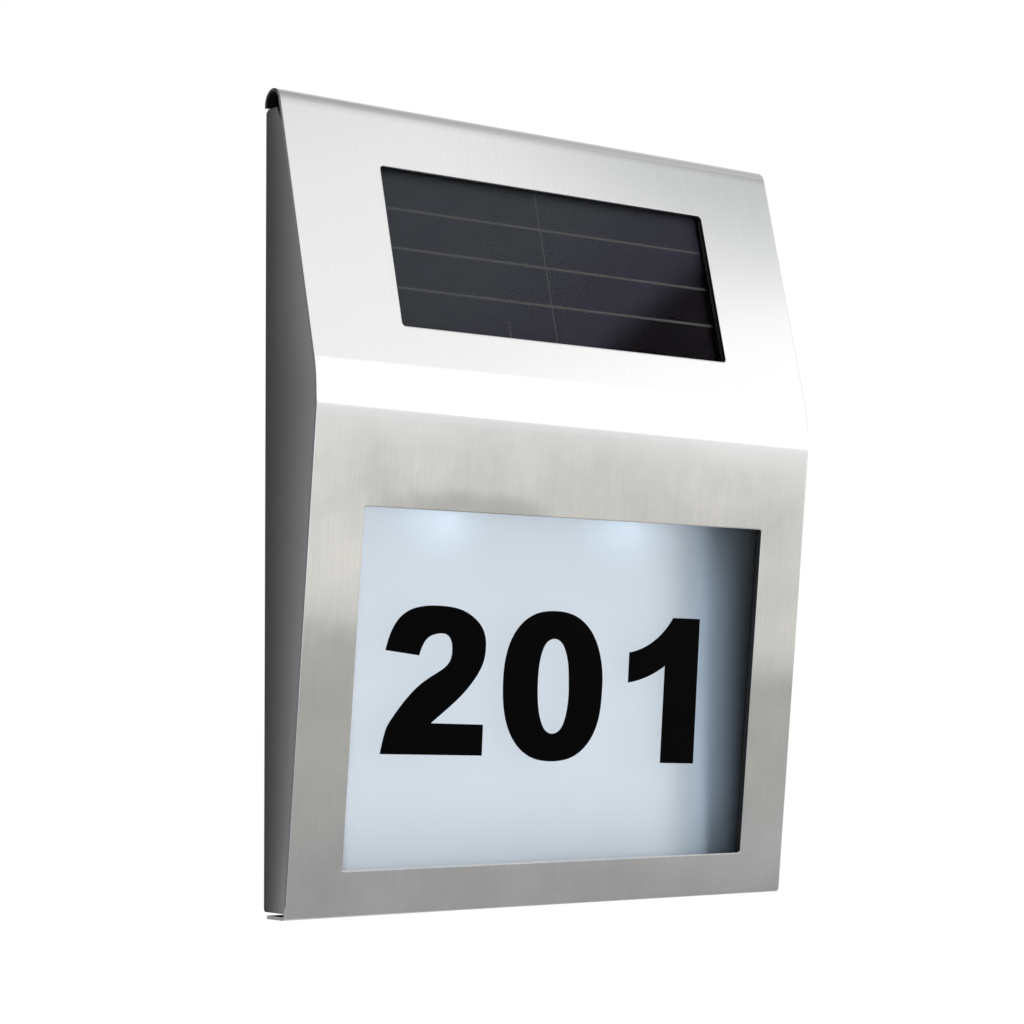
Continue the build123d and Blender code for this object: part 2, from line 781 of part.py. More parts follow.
# Slide switch: a case on the board and a slider that comes out through the back plate
with BuildPart() as switch_body:
    with BuildSketch(at_wall(case_rear)):
        with Locations(switch_at):
            Rectangle(*(size + 2 * switch_case_wall for size in slide_room))
    extrude(amount=switch_case_depth)
    with BuildSketch(at_wall(case_rear + switch_case_wall)):
        with Locations(switch_at):
            Rectangle(*slide_room)
    extrude(amount=switch_case_depth - 2 * switch_case_wall, mode=Mode.SUBTRACT)
    with BuildSketch(at_wall(case_rear)):
        with Locations(switch_at):
            Rectangle(slider_stem[0] + switch_travel + 2 * switch_play, slider_stem[1] + 2 * switch_play)
    extrude(amount=switch_case_wall, mode=Mode.SUBTRACT)

with BuildPart() as switch_slider:
    with BuildSketch(at_wall(slider_floor)):
        with Locations(slider_at):
            Rectangle(slider_base[0], slider_base[1])
    extrude(amount=-slider_base[2])
    with BuildSketch(at_wall(slider_floor)):
        with Locations(slider_at):
            Rectangle(slider_stem[0], slider_stem[1])
    extrude(amount=slider_sink - slider_floor)
    with BuildSketch(at_wall(plate_thick)):
        with Locations(slider_at):
            Rectangle(slider_knob[0], slider_knob[1])
    extrude(amount=slider_sink - plate_thick)
    # Thumb grooves across the knob
    with BuildSketch(at_wall(slider_sink)):
        with Locations(slider_at):
            with GridLocations(slider_knob[0] / 3, 0, 3, 1):
                Rectangle(slider_knob[0] / 8, slider_knob[1])
    extrude(amount=grip_depth, mode=Mode.SUBTRACT)

# Rechargeable cell with its contacts
with BuildPart() as battery:
    with BuildSketch(Plane.YZ.offset(battery_end - nub_length)):
        with Locations((-battery_depth, -battery_drop)):
            Circle(battery_radius)
    extrude(amount=nub_length - battery_length)
    fillet(battery.edges().filter_by(GeomType.CIRCLE), radius=battery_round)
    with BuildSketch(Plane.YZ.offset(battery_end - nub_length)):
        with Locations((-battery_depth, -battery_drop)):
            Circle(nub_radius)
    extrude(amount=nub_length)

with BuildPart() as battery_contact:
    with BuildSketch(Plane.YZ.offset(bay_half)):
        with Locations((-battery_depth, -battery_drop)):
            Rectangle(contact_size, contact_size)
    extrude(amount=-contact_thick)
    with BuildSketch(Plane.YZ.offset(bay_half - contact_thick)):
        with Locations((-battery_depth, -battery_drop)):
            Circle(nub_radius)
    extrude(amount=-contact_bump, taper=contact_taper)

spring_start = -bay_half + contact_thick
with BuildPart() as battery_spring:
    with BuildSketch(Plane.YZ.offset(-bay_half)):
        with Locations((-battery_depth, -battery_drop)):
            Rectangle(contact_size, contact_size)
    extrude(amount=contact_thick)
    coil_height = spring_gap - 1.5 * spring_wire
    coil_foot = (spring_start + spring_wire / 2, -battery_depth, -battery_drop)
    with BuildLine() as coil:
        Helix(coil_height / spring_turns, coil_height, spring_radius, center=coil_foot, direction=(1, 0, 0))
    with BuildSketch(Plane(coil.line @ 0, z_dir=coil.line % 0)):
        Circle(spring_wire)
    sweep(path=coil.line, is_frenet=True)

# Battery door: a tongue at one end, a screw at the other and finger ridges outside
with BuildPart() as battery_door:
    with BuildSketch(Plane.XZ):
        with Locations((door_mid, -battery_drop)):
            Rectangle(door_length, door_height)
    extrude(amount=door_thick)
    fillet(battery_door.edges().filter_by(Axis.Y), radius=door_rim / 2)
    with BuildSketch(at_wall(door_thick)):
        with Locations((door_left + (door_rim - tongue_length) / 2, -battery_drop)):
            Rectangle(door_rim + tongue_length, tongue_width)
    extrude(amount=tongue_thick)
    with BuildSketch(Plane.XZ):
        with Locations(door_screw_at):
            Circle(door_head_radius + head_clear)
    extrude(amount=door_head_sink + door_head_height, mode=Mode.SUBTRACT)
    with BuildSketch(Plane.XZ):
        with Locations(door_screw_at):
            Circle(screw_radius + head_clear / 2)
    extrude(amount=door_thick, mode=Mode.SUBTRACT)
    with BuildSketch(Plane.XZ):
        with Locations((0, -battery_drop)):
            with GridLocations(2 * grip_width, 0, 6, 1):
                Rectangle(grip_width, door_height / 2)
    extrude(amount=grip_depth, mode=Mode.SUBTRACT)


def lead_pair(first_route, second_route):
    """Two round wires, each along straight runs joined by bends."""
    with BuildPart() as leads:
        for route in (first_route, second_route):
            with BuildLine() as path:
                FilletPolyline(*route, radius=lead_bend)
            with BuildSketch(Plane(path.line @ 0, z_dir=path.line % 0)):
                Circle(lead_radius)
            sweep(path=path.line)
    return leads


def solar_route(x):
    """From the back of the solar board, up a little and on to the control board."""
    start = solar_plane.from_local_coords((x, -solar_height / 3, -solar_seat))
    inner = start - upper_out * (2 * lead_bend)
    meet = control_rise + lead_pitch
    return [start, inner, (x, inner.Y, meet), (x, -board_front, meet)]


def battery_route(side):
    """From a contact, out of the bay's end and up to the control board."""
    height = -battery_drop + contact_size / 2 - lead_pitch / 2
    out = bay_half + bay_end_wall + 2 * lead_pitch
    inner = control_size[0] / 2 - lead_pitch
    deep = -battery_depth - lead_pitch
    meet = control_rise - lead_pitch
    return [
        (side * bay_half, -battery_depth, height),
        (side * out, -battery_depth, height),
        (side * out, deep, meet),
        (side * inner, deep, meet),
        (side * inner, -board_front, meet),
    ]


def led_route(step):
    """From the lamp board, through the roof of the light box and up to the control board."""
    x = leads_x + step * lead_pitch
    meet = control_rise + 2 * lead_pitch - step * lead_pitch / 2
    inner = -control_size[0] / 2 + 2 * lead_pitch + step * lead_pitch
    return [(x, leads_y, box_top), (x, leads_y, meet), (inner, leads_y, meet), (inner, -board_front, meet)]


solar_leads = lead_pair(solar_route(-lead_pitch / 2), solar_route(lead_pitch / 2))
battery_leads = lead_pair(battery_route(-1), battery_route(1))
led_leads = lead_pair(led_route(0), led_route(1))

pieces = {
    "front_cover": front_cover,
    "cover_screws": cover_screws,
    "housing": housing,
    "number_panel": number_panel,
    "number_gasket": number_gasket,
    "digit_two": digit_two,
    "digit_zero": digit_zero,
    "digit_one": digit_one,
    "solar_cover": solar_cover,
    "solar_cells": solar_cells,
    "solar_board": solar_board,
    "solar_gasket": solar_gasket,
    "back_plate": back_plate,
    "back_gasket": back_gasket,
    "back_plate_screws": back_plate_screws,
    "reflector": reflector,
    "led_board": led_board,
    "leds": leds,
    "control_board": control_board,
    "board_screws": board_screws,
    "control_chip": control_chip,
    "boost_coil": boost_coil,
    "charge_capacitor": charge_capacitor,
    "switch_body": switch_body,
    "switch_slider": switch_slider,
    "battery": battery,
    "battery_contact": battery_contact,
    "battery_spring": battery_spring,
    "battery_door": battery_door,
    "battery_door_screw": battery_door_screw,
    "solar_leads": solar_leads,
    "battery_leads": battery_leads,
    "led_leads": led_leads,
}
os.makedirs("parts", exist_ok=True)
for name, piece in pieces.items():
    piece.part.label = name
    export_step(piece.part, f"parts/{name}.step")
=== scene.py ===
import json
import logging
import math
from dataclasses import dataclass
from enum import Enum
from typing import Any, Mapping, Optional, Sequence, Union

import bmesh
import bpy
from mathutils import Matrix, Vector


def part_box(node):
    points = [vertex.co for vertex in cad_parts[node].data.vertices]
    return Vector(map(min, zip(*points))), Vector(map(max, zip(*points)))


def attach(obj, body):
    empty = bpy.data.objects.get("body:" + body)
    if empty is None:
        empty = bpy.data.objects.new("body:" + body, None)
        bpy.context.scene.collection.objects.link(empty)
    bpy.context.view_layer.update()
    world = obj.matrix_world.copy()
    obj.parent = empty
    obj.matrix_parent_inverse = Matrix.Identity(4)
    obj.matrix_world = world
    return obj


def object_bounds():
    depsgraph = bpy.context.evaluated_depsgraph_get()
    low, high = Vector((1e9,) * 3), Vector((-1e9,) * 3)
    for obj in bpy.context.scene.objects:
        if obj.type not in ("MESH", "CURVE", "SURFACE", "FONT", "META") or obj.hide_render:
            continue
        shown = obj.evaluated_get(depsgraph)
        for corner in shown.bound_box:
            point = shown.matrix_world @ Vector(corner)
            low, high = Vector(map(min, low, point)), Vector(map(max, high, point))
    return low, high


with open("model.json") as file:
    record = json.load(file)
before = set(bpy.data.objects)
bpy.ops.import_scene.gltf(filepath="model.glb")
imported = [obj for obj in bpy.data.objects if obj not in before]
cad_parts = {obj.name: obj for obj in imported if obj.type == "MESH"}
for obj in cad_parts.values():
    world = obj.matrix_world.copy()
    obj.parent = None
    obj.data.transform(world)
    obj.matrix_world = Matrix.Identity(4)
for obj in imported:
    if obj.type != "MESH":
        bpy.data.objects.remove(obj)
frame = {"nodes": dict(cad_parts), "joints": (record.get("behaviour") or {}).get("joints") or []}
cad_low, cad_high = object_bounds()

log = logging.getLogger("house_number_light")

Colour = tuple[float, float, float]
Pair = tuple[float, float]
Value = Union["Wire", float, Sequence[float]]
Sockets = dict[Union[str, int], Value]

MM = 0.001
BLACK: Colour = (0.0, 0.0, 0.0)
WHITE: Colour = (1.0, 1.0, 1.0)
NOISE_MIDDLE = 0.5
CORNERS = ((-1, -1), (1, -1), (1, 1), (-1, 1))
FRONT_TURN = -0.5
HOUSING_BODY = "root"
PICTURE_SIDE = 1024


class Texture(Enum):
    """Node types of the patterns used by the finishes."""

    NOISE = "ShaderNodeTexNoise"
    CELLS = "ShaderNodeTexVoronoi"
    WAVE = "ShaderNodeTexWave"


# Shader expressions


class Wire:
    """A node's output, with arithmetic that adds Math nodes to its graph."""

    def __init__(self, graph: "Graph", socket: bpy.types.NodeSocket) -> None:
        """Keeps the graph and the output socket."""
        self.graph = graph
        self.socket = socket

    def other(self, name: str) -> "Wire":
        """Another output of the same node."""
        return Wire(self.graph, self.socket.node.outputs[name])

    def maths(self, operation: str, first: Value, second: Value, clamp: bool = False) -> "Wire":
        """One Math node.

        Args:
            operation: The node's operation.
            first: Its first value or link.
            second: Its second value or link.
            clamp: Whether the result is kept within 0 to 1.

        Returns:
            The node's result.
        """
        settings = {"operation": operation, "use_clamp": clamp}
        return self.graph.node("ShaderNodeMath", settings, {0: first, 1: second})

    def __add__(self, other: Value) -> "Wire":
        """This value plus another."""
        return self.maths("ADD", self, other)

    def __radd__(self, other: Value) -> "Wire":
        """Another value plus this one."""
        return self.maths("ADD", other, self)

    def __sub__(self, other: Value) -> "Wire":
        """This value less another."""
        return self.maths("SUBTRACT", self, other)

    def __rsub__(self, other: Value) -> "Wire":
        """Another value less this one."""
        return self.maths("SUBTRACT", other, self)

    def __mul__(self, other: Value) -> "Wire":
        """This value times another."""
        return self.maths("MULTIPLY", self, other)

    def __rmul__(self, other: Value) -> "Wire":
        """Another value times this one."""
        return self.maths("MULTIPLY", other, self)

    def __truediv__(self, other: Value) -> "Wire":
        """This value divided by another."""
        return self.maths("DIVIDE", self, other)

    def __rtruediv__(self, other: Value) -> "Wire":
        """Another value divided by this one."""
        return self.maths("DIVIDE", other, self)

    def __pow__(self, power: float) -> "Wire":
        """This value to a power."""
        return self.maths("POWER", self, power)

    def __rpow__(self, base: float) -> "Wire":
        """A number to the power of this value."""
        return self.maths("POWER", base, self)

    def __abs__(self) -> "Wire":
        """This value without its sign."""
        return self.maths("ABSOLUTE", self, 0.0)

    def swing(self, amount: Value) -> "Wire":
        """Noise made to swing about zero by an amount."""
        return (self - NOISE_MIDDLE) * amount

    def limited(self) -> "Wire":
        """This value kept within 0 to 1."""
        return self.maths("ADD", self, 0.0, clamp=True)

    def above(self, level: Value) -> "Wire":
        """1 where this value is above the level, and 0 elsewhere."""
        return self.maths("GREATER_THAN", self, level)

    def least(self, other: Value) -> "Wire":
        """The smaller of this value and another."""
        return self.maths("MINIMUM", self, other)

    def most(self, other: Value) -> "Wire":
        """The larger of this value and another."""
        return self.maths("MAXIMUM", self, other)


class Graph:
    """A shader's node tree and the few steps that the finishes are written in."""

    def __init__(self, tree: bpy.types.NodeTree) -> None:
        """Starts from an empty node tree."""
        self.tree = tree
        tree.nodes.clear()

    @classmethod
    def of(cls, owner: Union[bpy.types.Material, bpy.types.World]) -> "Graph":
        """The emptied graph of a material or of the world."""
        owner.use_nodes = True
        return cls(owner.node_tree)

    def node(
        self,
        kind: str,
        settings: Optional[Mapping[str, Any]] = None,
        sockets: Optional[Mapping[Union[str, int], Value]] = None,
        out: Union[str, int] = 0,
    ) -> Wire:
        """Adds one node.

        Args:
            kind: The node's type.
            settings: Its properties, set first. The key stops holds a ramp's places and colours.
            sockets: Its input values or links, by name or number.
            out: The output to return.

        Returns:
            The chosen output.
        """
        made = self.tree.nodes.new(kind)
        for key, value in (settings or {}).items():
            if key == "stops":
                self._set_stops(made.color_ramp, value)
            else:
                setattr(made, key, value)
        for key, value in (sockets or {}).items():
            self.feed(made.inputs[key], value)
        return Wire(self, made.outputs[out]) if len(made.outputs) else Wire(self, made.inputs[0])

    @staticmethod
    def _set_stops(ramp: bpy.types.ColorRamp, stops: Sequence[tuple[float, Sequence[float]]]) -> None:
        """Gives a colour ramp its stops.

        Args:
            ramp: The ramp to fill.
            stops: Places from 0 to 1 with their colours.
        """
        while len(ramp.elements) < len(stops):
            ramp.elements.new(1.0)
        for element, (place, colour) in zip(ramp.elements, stops):
            element.position = place
            element.color = (*colour, 1.0)

    def feed(self, socket: bpy.types.NodeSocket, value: Value) -> None:
        """Links a wire to a socket, or sets the socket's own value.

        Args:
            socket: The input.
            value: A wire, a number, or a colour or vector.
        """
        if isinstance(value, Wire):
            self.tree.links.new(value.socket, socket)
        elif isinstance(value, (int, float)):
            socket.default_value = value
        else:
            wanted = len(socket.default_value)
            socket.default_value = (*value, 1.0)[:wanted]

    def place(self) -> Wire:
        """The point on the surface, in the part's own frame."""
        return self.node("ShaderNodeTexCoord", out="Object")

    def axes(self, vector: Wire) -> tuple[Wire, Wire, Wire]:
        """A vector's three parts."""
        first = self.node("ShaderNodeSeparateXYZ", sockets={0: vector}, out="X")
        return first, first.other("Y"), first.other("Z")

    def stretched(self, pitch: Sequence[float]) -> Wire:
        """The surface point measured in steps of a pitch along each axis.

        Args:
            pitch: The step along X, Y and Z, in metres.

        Returns:
            The scaled point.
        """
        scale = [1.0 / step for step in pitch]
        settings = {"operation": "MULTIPLY"}
        return self.node("ShaderNodeVectorMath", settings, {0: self.place(), 1: scale})

    def noise(self, pitch: Union[float, Sequence[float]], detail: float = 2.0, rough: float = 0.5) -> Wire:
        """Noise about 0.5 with features of a given size.

        Args:
            pitch: The size of a feature in metres, one for all axes or one for each.
            detail: How many finer layers are added.
            rough: How strong the finer layers are.

        Returns:
            The noise, from 0 to 1.
        """
        steps = (pitch, pitch, pitch) if isinstance(pitch, float) else pitch
        sockets = {"Vector": self.stretched(steps), "Scale": 1.0, "Detail": detail, "Roughness": rough}
        return self.node(Texture.NOISE.value, {"noise_dimensions": "3D"}, sockets)

    def blend(self, factor: Value, first: Value, second: Value, mode: str = "MIX") -> Wire:
        """Mixes two colours.

        Args:
            factor: How much of the second colour.
            first: The first colour.
            second: The second colour.
            mode: How they are mixed.

        Returns:
            The mixed colour.
        """
        settings = {"data_type": "RGBA", "blend_type": mode, "clamp_factor": True}
        return self.node("ShaderNodeMix", settings, {0: factor, 6: first, 7: second}, out=2)

    def step(self, value: Wire, low: float, high: float) -> Wire:
        """A smooth rise from 0 to 1 as a value goes from low to high.

        Args:
            value: The value that rises.
            low: Where the rise starts.
            high: Where it ends.

        Returns:
            The smoothed share.
        """
        sockets = {"Value": value, "From Min": low, "From Max": high, "To Min": 0.0, "To Max": 1.0}
        return self.node("ShaderNodeMapRange", {"interpolation_type": "SMOOTHSTEP"}, sockets)

    def oval(
        self,
        across: Wire,
        height: Wire,
        middle: Sequence[float],
        half: Sequence[float],
        uneven: Value = 0.0,
    ) -> Wire:
        """A soft oval patch on an upright face.

        Args:
            across: Place along X.
            height: Place along Z.
            middle: Its middle along both.
            half: Its half sizes along both.
            uneven: How far its rim is drawn in.

        Returns:
            1 in the middle, 0 from the rim on.
        """
        sideways = (across - middle[0]) / half[0]
        upward = (height - middle[1]) / half[1]
        return self.step(sideways * sideways + upward * upward + uneven, 1.0, 0.0)

    def rounded(self, radius: float) -> Wire:
        """The surface direction with sharp edges eased over a radius, in metres."""
        return self.node("ShaderNodeBevel", {"samples": 4}, {"Radius": radius})

    def along(self, vector: Wire, way: Union[Wire, Sequence[float]]) -> Wire:
        """How far a vector reaches along a direction."""
        settings = {"operation": "DOT_PRODUCT"}
        return self.node("ShaderNodeVectorMath", settings, {0: vector, 1: way}, out="Value")

    def edges(self, rounded: Wire, spread: float) -> Wire:
        """A mask of the sharp edges.

        Args:
            rounded: The eased surface direction.
            spread: How far the direction has to turn to count fully.

        Returns:
            1 at the edges and 0 on the faces.
        """
        alike = self.along(rounded, self.node("ShaderNodeNewGeometry", out="Normal"))
        return ((1.0 - alike) / spread).limited()

    def bump(self, height: Wire, depth: float, normal: Optional[Wire] = None) -> Wire:
        """The surface direction with fine relief.

        Args:
            height: The relief, from 0 to 1.
            depth: How deep it is, in metres.
            normal: The direction that it starts from.

        Returns:
            The changed direction.
        """
        sockets: Sockets = {"Height": height, "Distance": depth, "Strength": 1.0}
        if normal is not None:
            sockets["Normal"] = normal
        return self.node("ShaderNodeBump", sockets=sockets)


# Finishes


def toned(colour: Colour, share: float) -> list[float]:
    """A colour made darker or brighter."""
    return [part * share for part in colour]


@dataclass(frozen=True)
class Finish:
    """A surface finish with a name of its own."""

    name: str

    def material(self) -> bpy.types.Material:
        """Builds the finish.

        Returns:
            A material with its node tree.
        """
        made = bpy.data.materials.new(self.name)
        graph = Graph.of(made)
        shader = graph.node("ShaderNodeBsdfPrincipled", sockets=self.sockets(graph))
        graph.node("ShaderNodeOutputMaterial", sockets={"Surface": shader})
        return made

    def sockets(self, graph: Graph) -> Sockets:
        """The values and links of the shader's sockets."""
        raise NotImplementedError


@dataclass(frozen=True)
class BrushedSteel(Finish):
    """Stainless sheet brushed up and down, handled below the bend, with dull cut edges, painted highlights
    and painted shade.
    """

    light: Colour = (0.87, 0.87, 0.865)
    dark: Colour = (0.7, 0.7, 0.695)
    handled: Colour = (1.0, 0.985, 0.935)
    cut: Colour = (0.18, 0.18, 0.21)
    # Painted shade on the side edges of the windows.
    reveal_shade: Colour = (0.05, 0.05, 0.055)
    toe: Colour = (0.36, 0.36, 0.37)
    # Painted highlight on the upward ledges below the bend.
    sill_highlight: Colour = (0.98, 0.98, 0.98)
    shadow: Colour = (0.03, 0.03, 0.032)
    # Painted highlight: a brighter tone just under the bend that stands in for its reflection.
    bend_highlight: Colour = (0.97, 0.97, 0.97)
    roughness: float = 0.065
    smear_rough: float = 0.05
    end_rough: float = 0.35
    hidden_rough: float = 0.85
    scratch: float = 0.05 * MM
    scratch_run: float = 60 * MM
    relief: float = 0.0022 * MM
    edge: float = 0.5 * MM
    streak: float = 0.45 * MM
    streak_run: float = 14 * MM
    streak_share: float = 1.0
    band: float = 2.4 * MM
    band_run: float = 160 * MM
    band_share: float = 0.15
    brushed_above: float = 0.2
    brushed_gain: float = 0.55
    smear: float = 18 * MM
    smeared_above: float = 0.12
    smeared_gain: float = 1.4
    tone_level: float = 0.6
    hands_swing: float = 1.2
    hands_level: float = 0.8
    # Painted shade along the top of the roll.
    crown_shade: Pair = (47.3 * MM, 49.7 * MM)
    crown_shade_loss: float = 0.22
    bend: Pair = (-20 * MM, -45 * MM)
    foot: Pair = (-135 * MM, -100 * MM)
    # Two painted patches of shade on the steel just above the number window.
    shade_patch_at: Pair = (-4 * MM, -42 * MM)
    shade_patch_half: Pair = (95 * MM, 19 * MM)
    shade_patch_loss: float = 0.11
    shade_spot_at: Pair = (-33 * MM, -48.5 * MM)
    shade_spot_half: Pair = (31 * MM, 6.5 * MM)
    shade_spot_loss: float = 0.2
    waver: float = 1.2
    # Where the painted highlight under the bend lies, and how strong it is.
    bend_highlight_top: Pair = (-18 * MM, -24 * MM)
    bend_highlight_near: Pair = (-28 * MM, -25.4 * MM)
    bend_highlight_near_share: float = 0.6
    bend_highlight_far: Pair = (-34 * MM, -25.6 * MM)
    bend_highlight_end: Pair = (-10 * MM, 60 * MM)
    bend_highlight_far_share: float = 0.5
    end_turn: float = 0.85
    ledge_turn: float = 0.7
    roll: float = 46 * MM
    roll_back: Pair = (-6.5 * MM, -5 * MM)
    roll_centre: Pair = (-4 * MM, 48.3 * MM)
    flange: float = -141 * MM
    outer: float = 70 * MM

    def front(self, graph: Graph, smear: Wire, across: Wire, height: Wire) -> Wire:
        """The colour of the front: brushing, smears, painted shade along the roll's top, two painted patches
        of shade and a painted highlight under the bend.

        Args:
            graph: The finish's graph.
            smear: Noise with features of the size of a smear.
            across: Place along X.
            height: Place along Z.

        Returns:
            The colour.
        """
        streak = graph.noise((self.streak, self.streak_run, self.streak_run), detail=3.0, rough=0.6)
        broad = graph.noise((self.band, self.band_run, self.band_run), detail=2.0)
        lower = graph.step(height, *self.bend)
        brushing = streak.swing(self.streak_share) + broad.swing(self.band_share)
        brushing = brushing * (lower * self.brushed_gain + self.brushed_above)
        tone = brushing + smear.swing(lower * self.smeared_gain + self.smeared_above) + self.tone_level
        hands = lower * graph.step(height, *self.foot) * (smear.swing(self.hands_swing) + self.hands_level)
        clean = graph.blend(tone.limited(), self.dark, self.light)
        # Painted shade along the top of the roll.
        crown_shaded = graph.blend(graph.step(height, *self.crown_shade) * self.crown_shade_loss, clean, BLACK)
        face = graph.blend(hands, crown_shaded, self.handled, "MULTIPLY")
        uneven = smear.swing(self.waver)
        # Two painted patches of shade, darkest in their middles.
        dull = graph.oval(across, height, self.shade_patch_at, self.shade_patch_half, uneven) * self.shade_patch_loss
        dull = dull + graph.oval(across, height, self.shade_spot_at, self.shade_spot_half, uneven) * self.shade_spot_loss
        face = graph.blend(dull, face, BLACK)
        # Painted highlight under the bend.
        far = graph.step(height, *self.bend_highlight_far) * graph.step(across, *self.bend_highlight_end)
        near = graph.step(height, *self.bend_highlight_near) * self.bend_highlight_near_share
        bend_highlight = (far * self.bend_highlight_far_share + near).limited() * graph.step(height, *self.bend_highlight_top)
        return graph.blend(bend_highlight, face, self.bend_highlight)

    def sockets(self, graph: Graph) -> Sockets:
        """The front, with dull cut ends, painted shade on the window edges, painted highlights on the sills
        and painted shadow in the folds, over a fine relief.

        Args:
            graph: The finish's graph.

        Returns:
            The shader's sockets.
        """
        fine = graph.noise((self.scratch, self.scratch_run, self.scratch_run), detail=1.0)
        smear = graph.noise(self.smear, detail=3.0, rough=0.6)
        across, depth, height = graph.axes(graph.place())
        sideways, inward, upward = graph.axes(graph.node("ShaderNodeNewGeometry", out="True Normal"))
        ends = abs(sideways).above(self.end_turn)
        ledge = upward.above(self.ledge_turn) * (1.0 - height.above(self.bend[1]))
        rolled = height.above(self.roll) * graph.step(depth, *self.roll_back)
        facing = (depth - self.roll_centre[0]) * inward + (height - self.roll_centre[1]) * upward
        inside = height.above(self.roll) * (1.0 - facing.above(0.0)) * (1.0 - ends)
        # Painted shade on the windows' side edges; the outer ends keep the cut tone.
        edge_tone = graph.blend(abs(across).above(self.outer), self.reveal_shade, self.cut)
        edge_tone = graph.blend(1.0 - height.above(self.flange), edge_tone, self.toe)
        # Painted shadow on the rear ends of the roll.
        end_tone = graph.blend(rolled, edge_tone, self.shadow)
        # Painted highlight on the upward ledges, and painted shadow on the flange's top face.
        low_ledge = ledge * (1.0 - height.above(self.flange))
        ledge_tone = graph.blend(low_ledge, self.sill_highlight, self.shadow)
        hidden = low_ledge.most(inside)
        face = self.front(graph, smear, across, height)
        # Painted shadow inside the roll.
        outside = graph.blend(inside, graph.blend(ends, face, end_tone), self.shadow)
        dulled = ends * self.end_rough + hidden * self.hidden_rough
        return {
            "Base Color": graph.blend(ledge, outside, ledge_tone),
            "Metallic": 1.0,
            "Roughness": smear.swing(self.smear_rough) + dulled + self.roughness,
            "Normal": graph.bump(fine, self.relief, graph.rounded(self.edge)),
        }


@dataclass(frozen=True)
class PlatedMetal(Finish):
    """Bright plated metal with fine turning marks and a little tarnish."""

    colour: Colour = (0.72, 0.71, 0.69)
    tarnish: Colour = (0.42, 0.4, 0.37)
    roughness: float = 0.24
    mark: float = 0.3 * MM
    mark_rough: float = 0.15
    stain: float = 1.5 * MM
    stain_rough: float = 0.2
    stain_span: Pair = (0.5, 0.75)
    relief: float = 0.01 * MM
    edge: float = 0.12 * MM

    def sockets(self, graph: Graph) -> Sockets:
        """Stains in colour and gloss, marks in relief.

        Args:
            graph: The finish's graph.

        Returns:
            The shader's sockets.
        """
        mark = graph.noise(self.mark, detail=3.0)
        stain = graph.noise(self.stain, detail=2.0, rough=0.6)
        eased = graph.rounded(self.edge)
        return {
            "Base Color": graph.blend(graph.step(stain, *self.stain_span), self.colour, self.tarnish),
            "Metallic": 1.0,
            "Roughness": mark.swing(self.mark_rough) + stain.swing(self.stain_rough) + self.roughness,
            "Normal": graph.bump(mark, self.relief, eased),
        }


@dataclass(frozen=True)
class MouldedPlastic(Finish):
    """Moulded plastic with a fine eroded grain, flow clouds, edges polished by handling, and sides that can
    be painted paler towards the front as painted light.
    """

    colour: Colour = (0.045, 0.045, 0.047)
    # Colour of the worn edges, and also the paler colour that the painted light on the sides goes towards.
    worn_and_lit: Colour = (0.12, 0.12, 0.122)
    roughness: float = 0.5
    grain: float = 0.32 * MM
    grain_rough: float = 0.2
    relief: float = 0.022 * MM
    cloud: float = 14 * MM
    cloud_rough: float = 0.15
    cloud_contrast: float = 1.6
    cloud_tones: Pair = (0.78, 1.25)
    edge: float = 0.35 * MM
    edge_turn: float = 0.25
    edge_gloss: float = 0.1
    shine: float = 0.5
    wear: float = 0.5
    # Painted light: how much the outer sides are painted paler towards the front, less near the top and more
    # at the foot.
    side_light: float = 0.0
    side_light_power: float = 1.4
    side_light_swing: float = 0.4
    side_light_from: float = 76.5 * MM
    side_light_less: Pair = (-10 * MM, 40 * MM)
    side_light_more: Pair = (-120 * MM, -145 * MM)
    foot: Pair = (10.1 * MM, -144 * MM)
    bend: Pair = (23.2 * MM, -21 * MM)
    head: Pair = (7.1 * MM, 49 * MM)

    def side_lighting(self, graph: Graph) -> Wire:
        """How much painted light brightens the outer sides.

        Args:
            graph: The finish's graph.

        Returns:
            0 at the wall and most at the front edge, whose depth changes with height.
        """
        across, depth, height = graph.axes(graph.place())
        edges = []
        for low, high in ((self.foot, self.bend), (self.head, self.bend)):
            slope = (high[0] - low[0]) / (high[1] - low[1])
            edges.append((height - low[1]) * slope + low[0])
        share = (depth * -1.0 / edges[0].least(edges[1])).limited()
        less = graph.step(height, *self.side_light_less) * self.side_light_swing
        more = graph.step(height, *self.side_light_more) * self.side_light_swing
        amount = 1.0 - less + more
        # Painted light on the sides, paler towards the front.
        return (share ** self.side_light_power) * amount * abs(across).above(self.side_light_from) * self.side_light

    def sockets(self, graph: Graph) -> Sockets:
        """Grain in relief and gloss, clouds in colour, edge wear and painted light on the sides.

        Args:
            graph: The finish's graph.

        Returns:
            The shader's sockets.
        """
        grain = graph.noise(self.grain, detail=3.0, rough=0.55)
        cloud = graph.noise(self.cloud, detail=3.0, rough=0.55)
        eased = graph.rounded(self.edge)
        wear = graph.edges(eased, self.edge_turn)
        deep, bright = [toned(self.colour, share) for share in self.cloud_tones]
        body = graph.blend(cloud.swing(self.cloud_contrast) + NOISE_MIDDLE, deep, bright)
        rough = grain.swing(self.grain_rough) + cloud.swing(self.cloud_rough)
        return {
            # Worn edges, and painted light that makes the sides paler towards the front.
            "Base Color": graph.blend((wear * self.wear).most(self.side_lighting(graph)), body, self.worn_and_lit),
            "Roughness": rough - wear * self.edge_gloss + self.roughness,
            "Specular IOR Level": self.shine,
            "Normal": graph.bump(grain, self.relief, eased),
        }


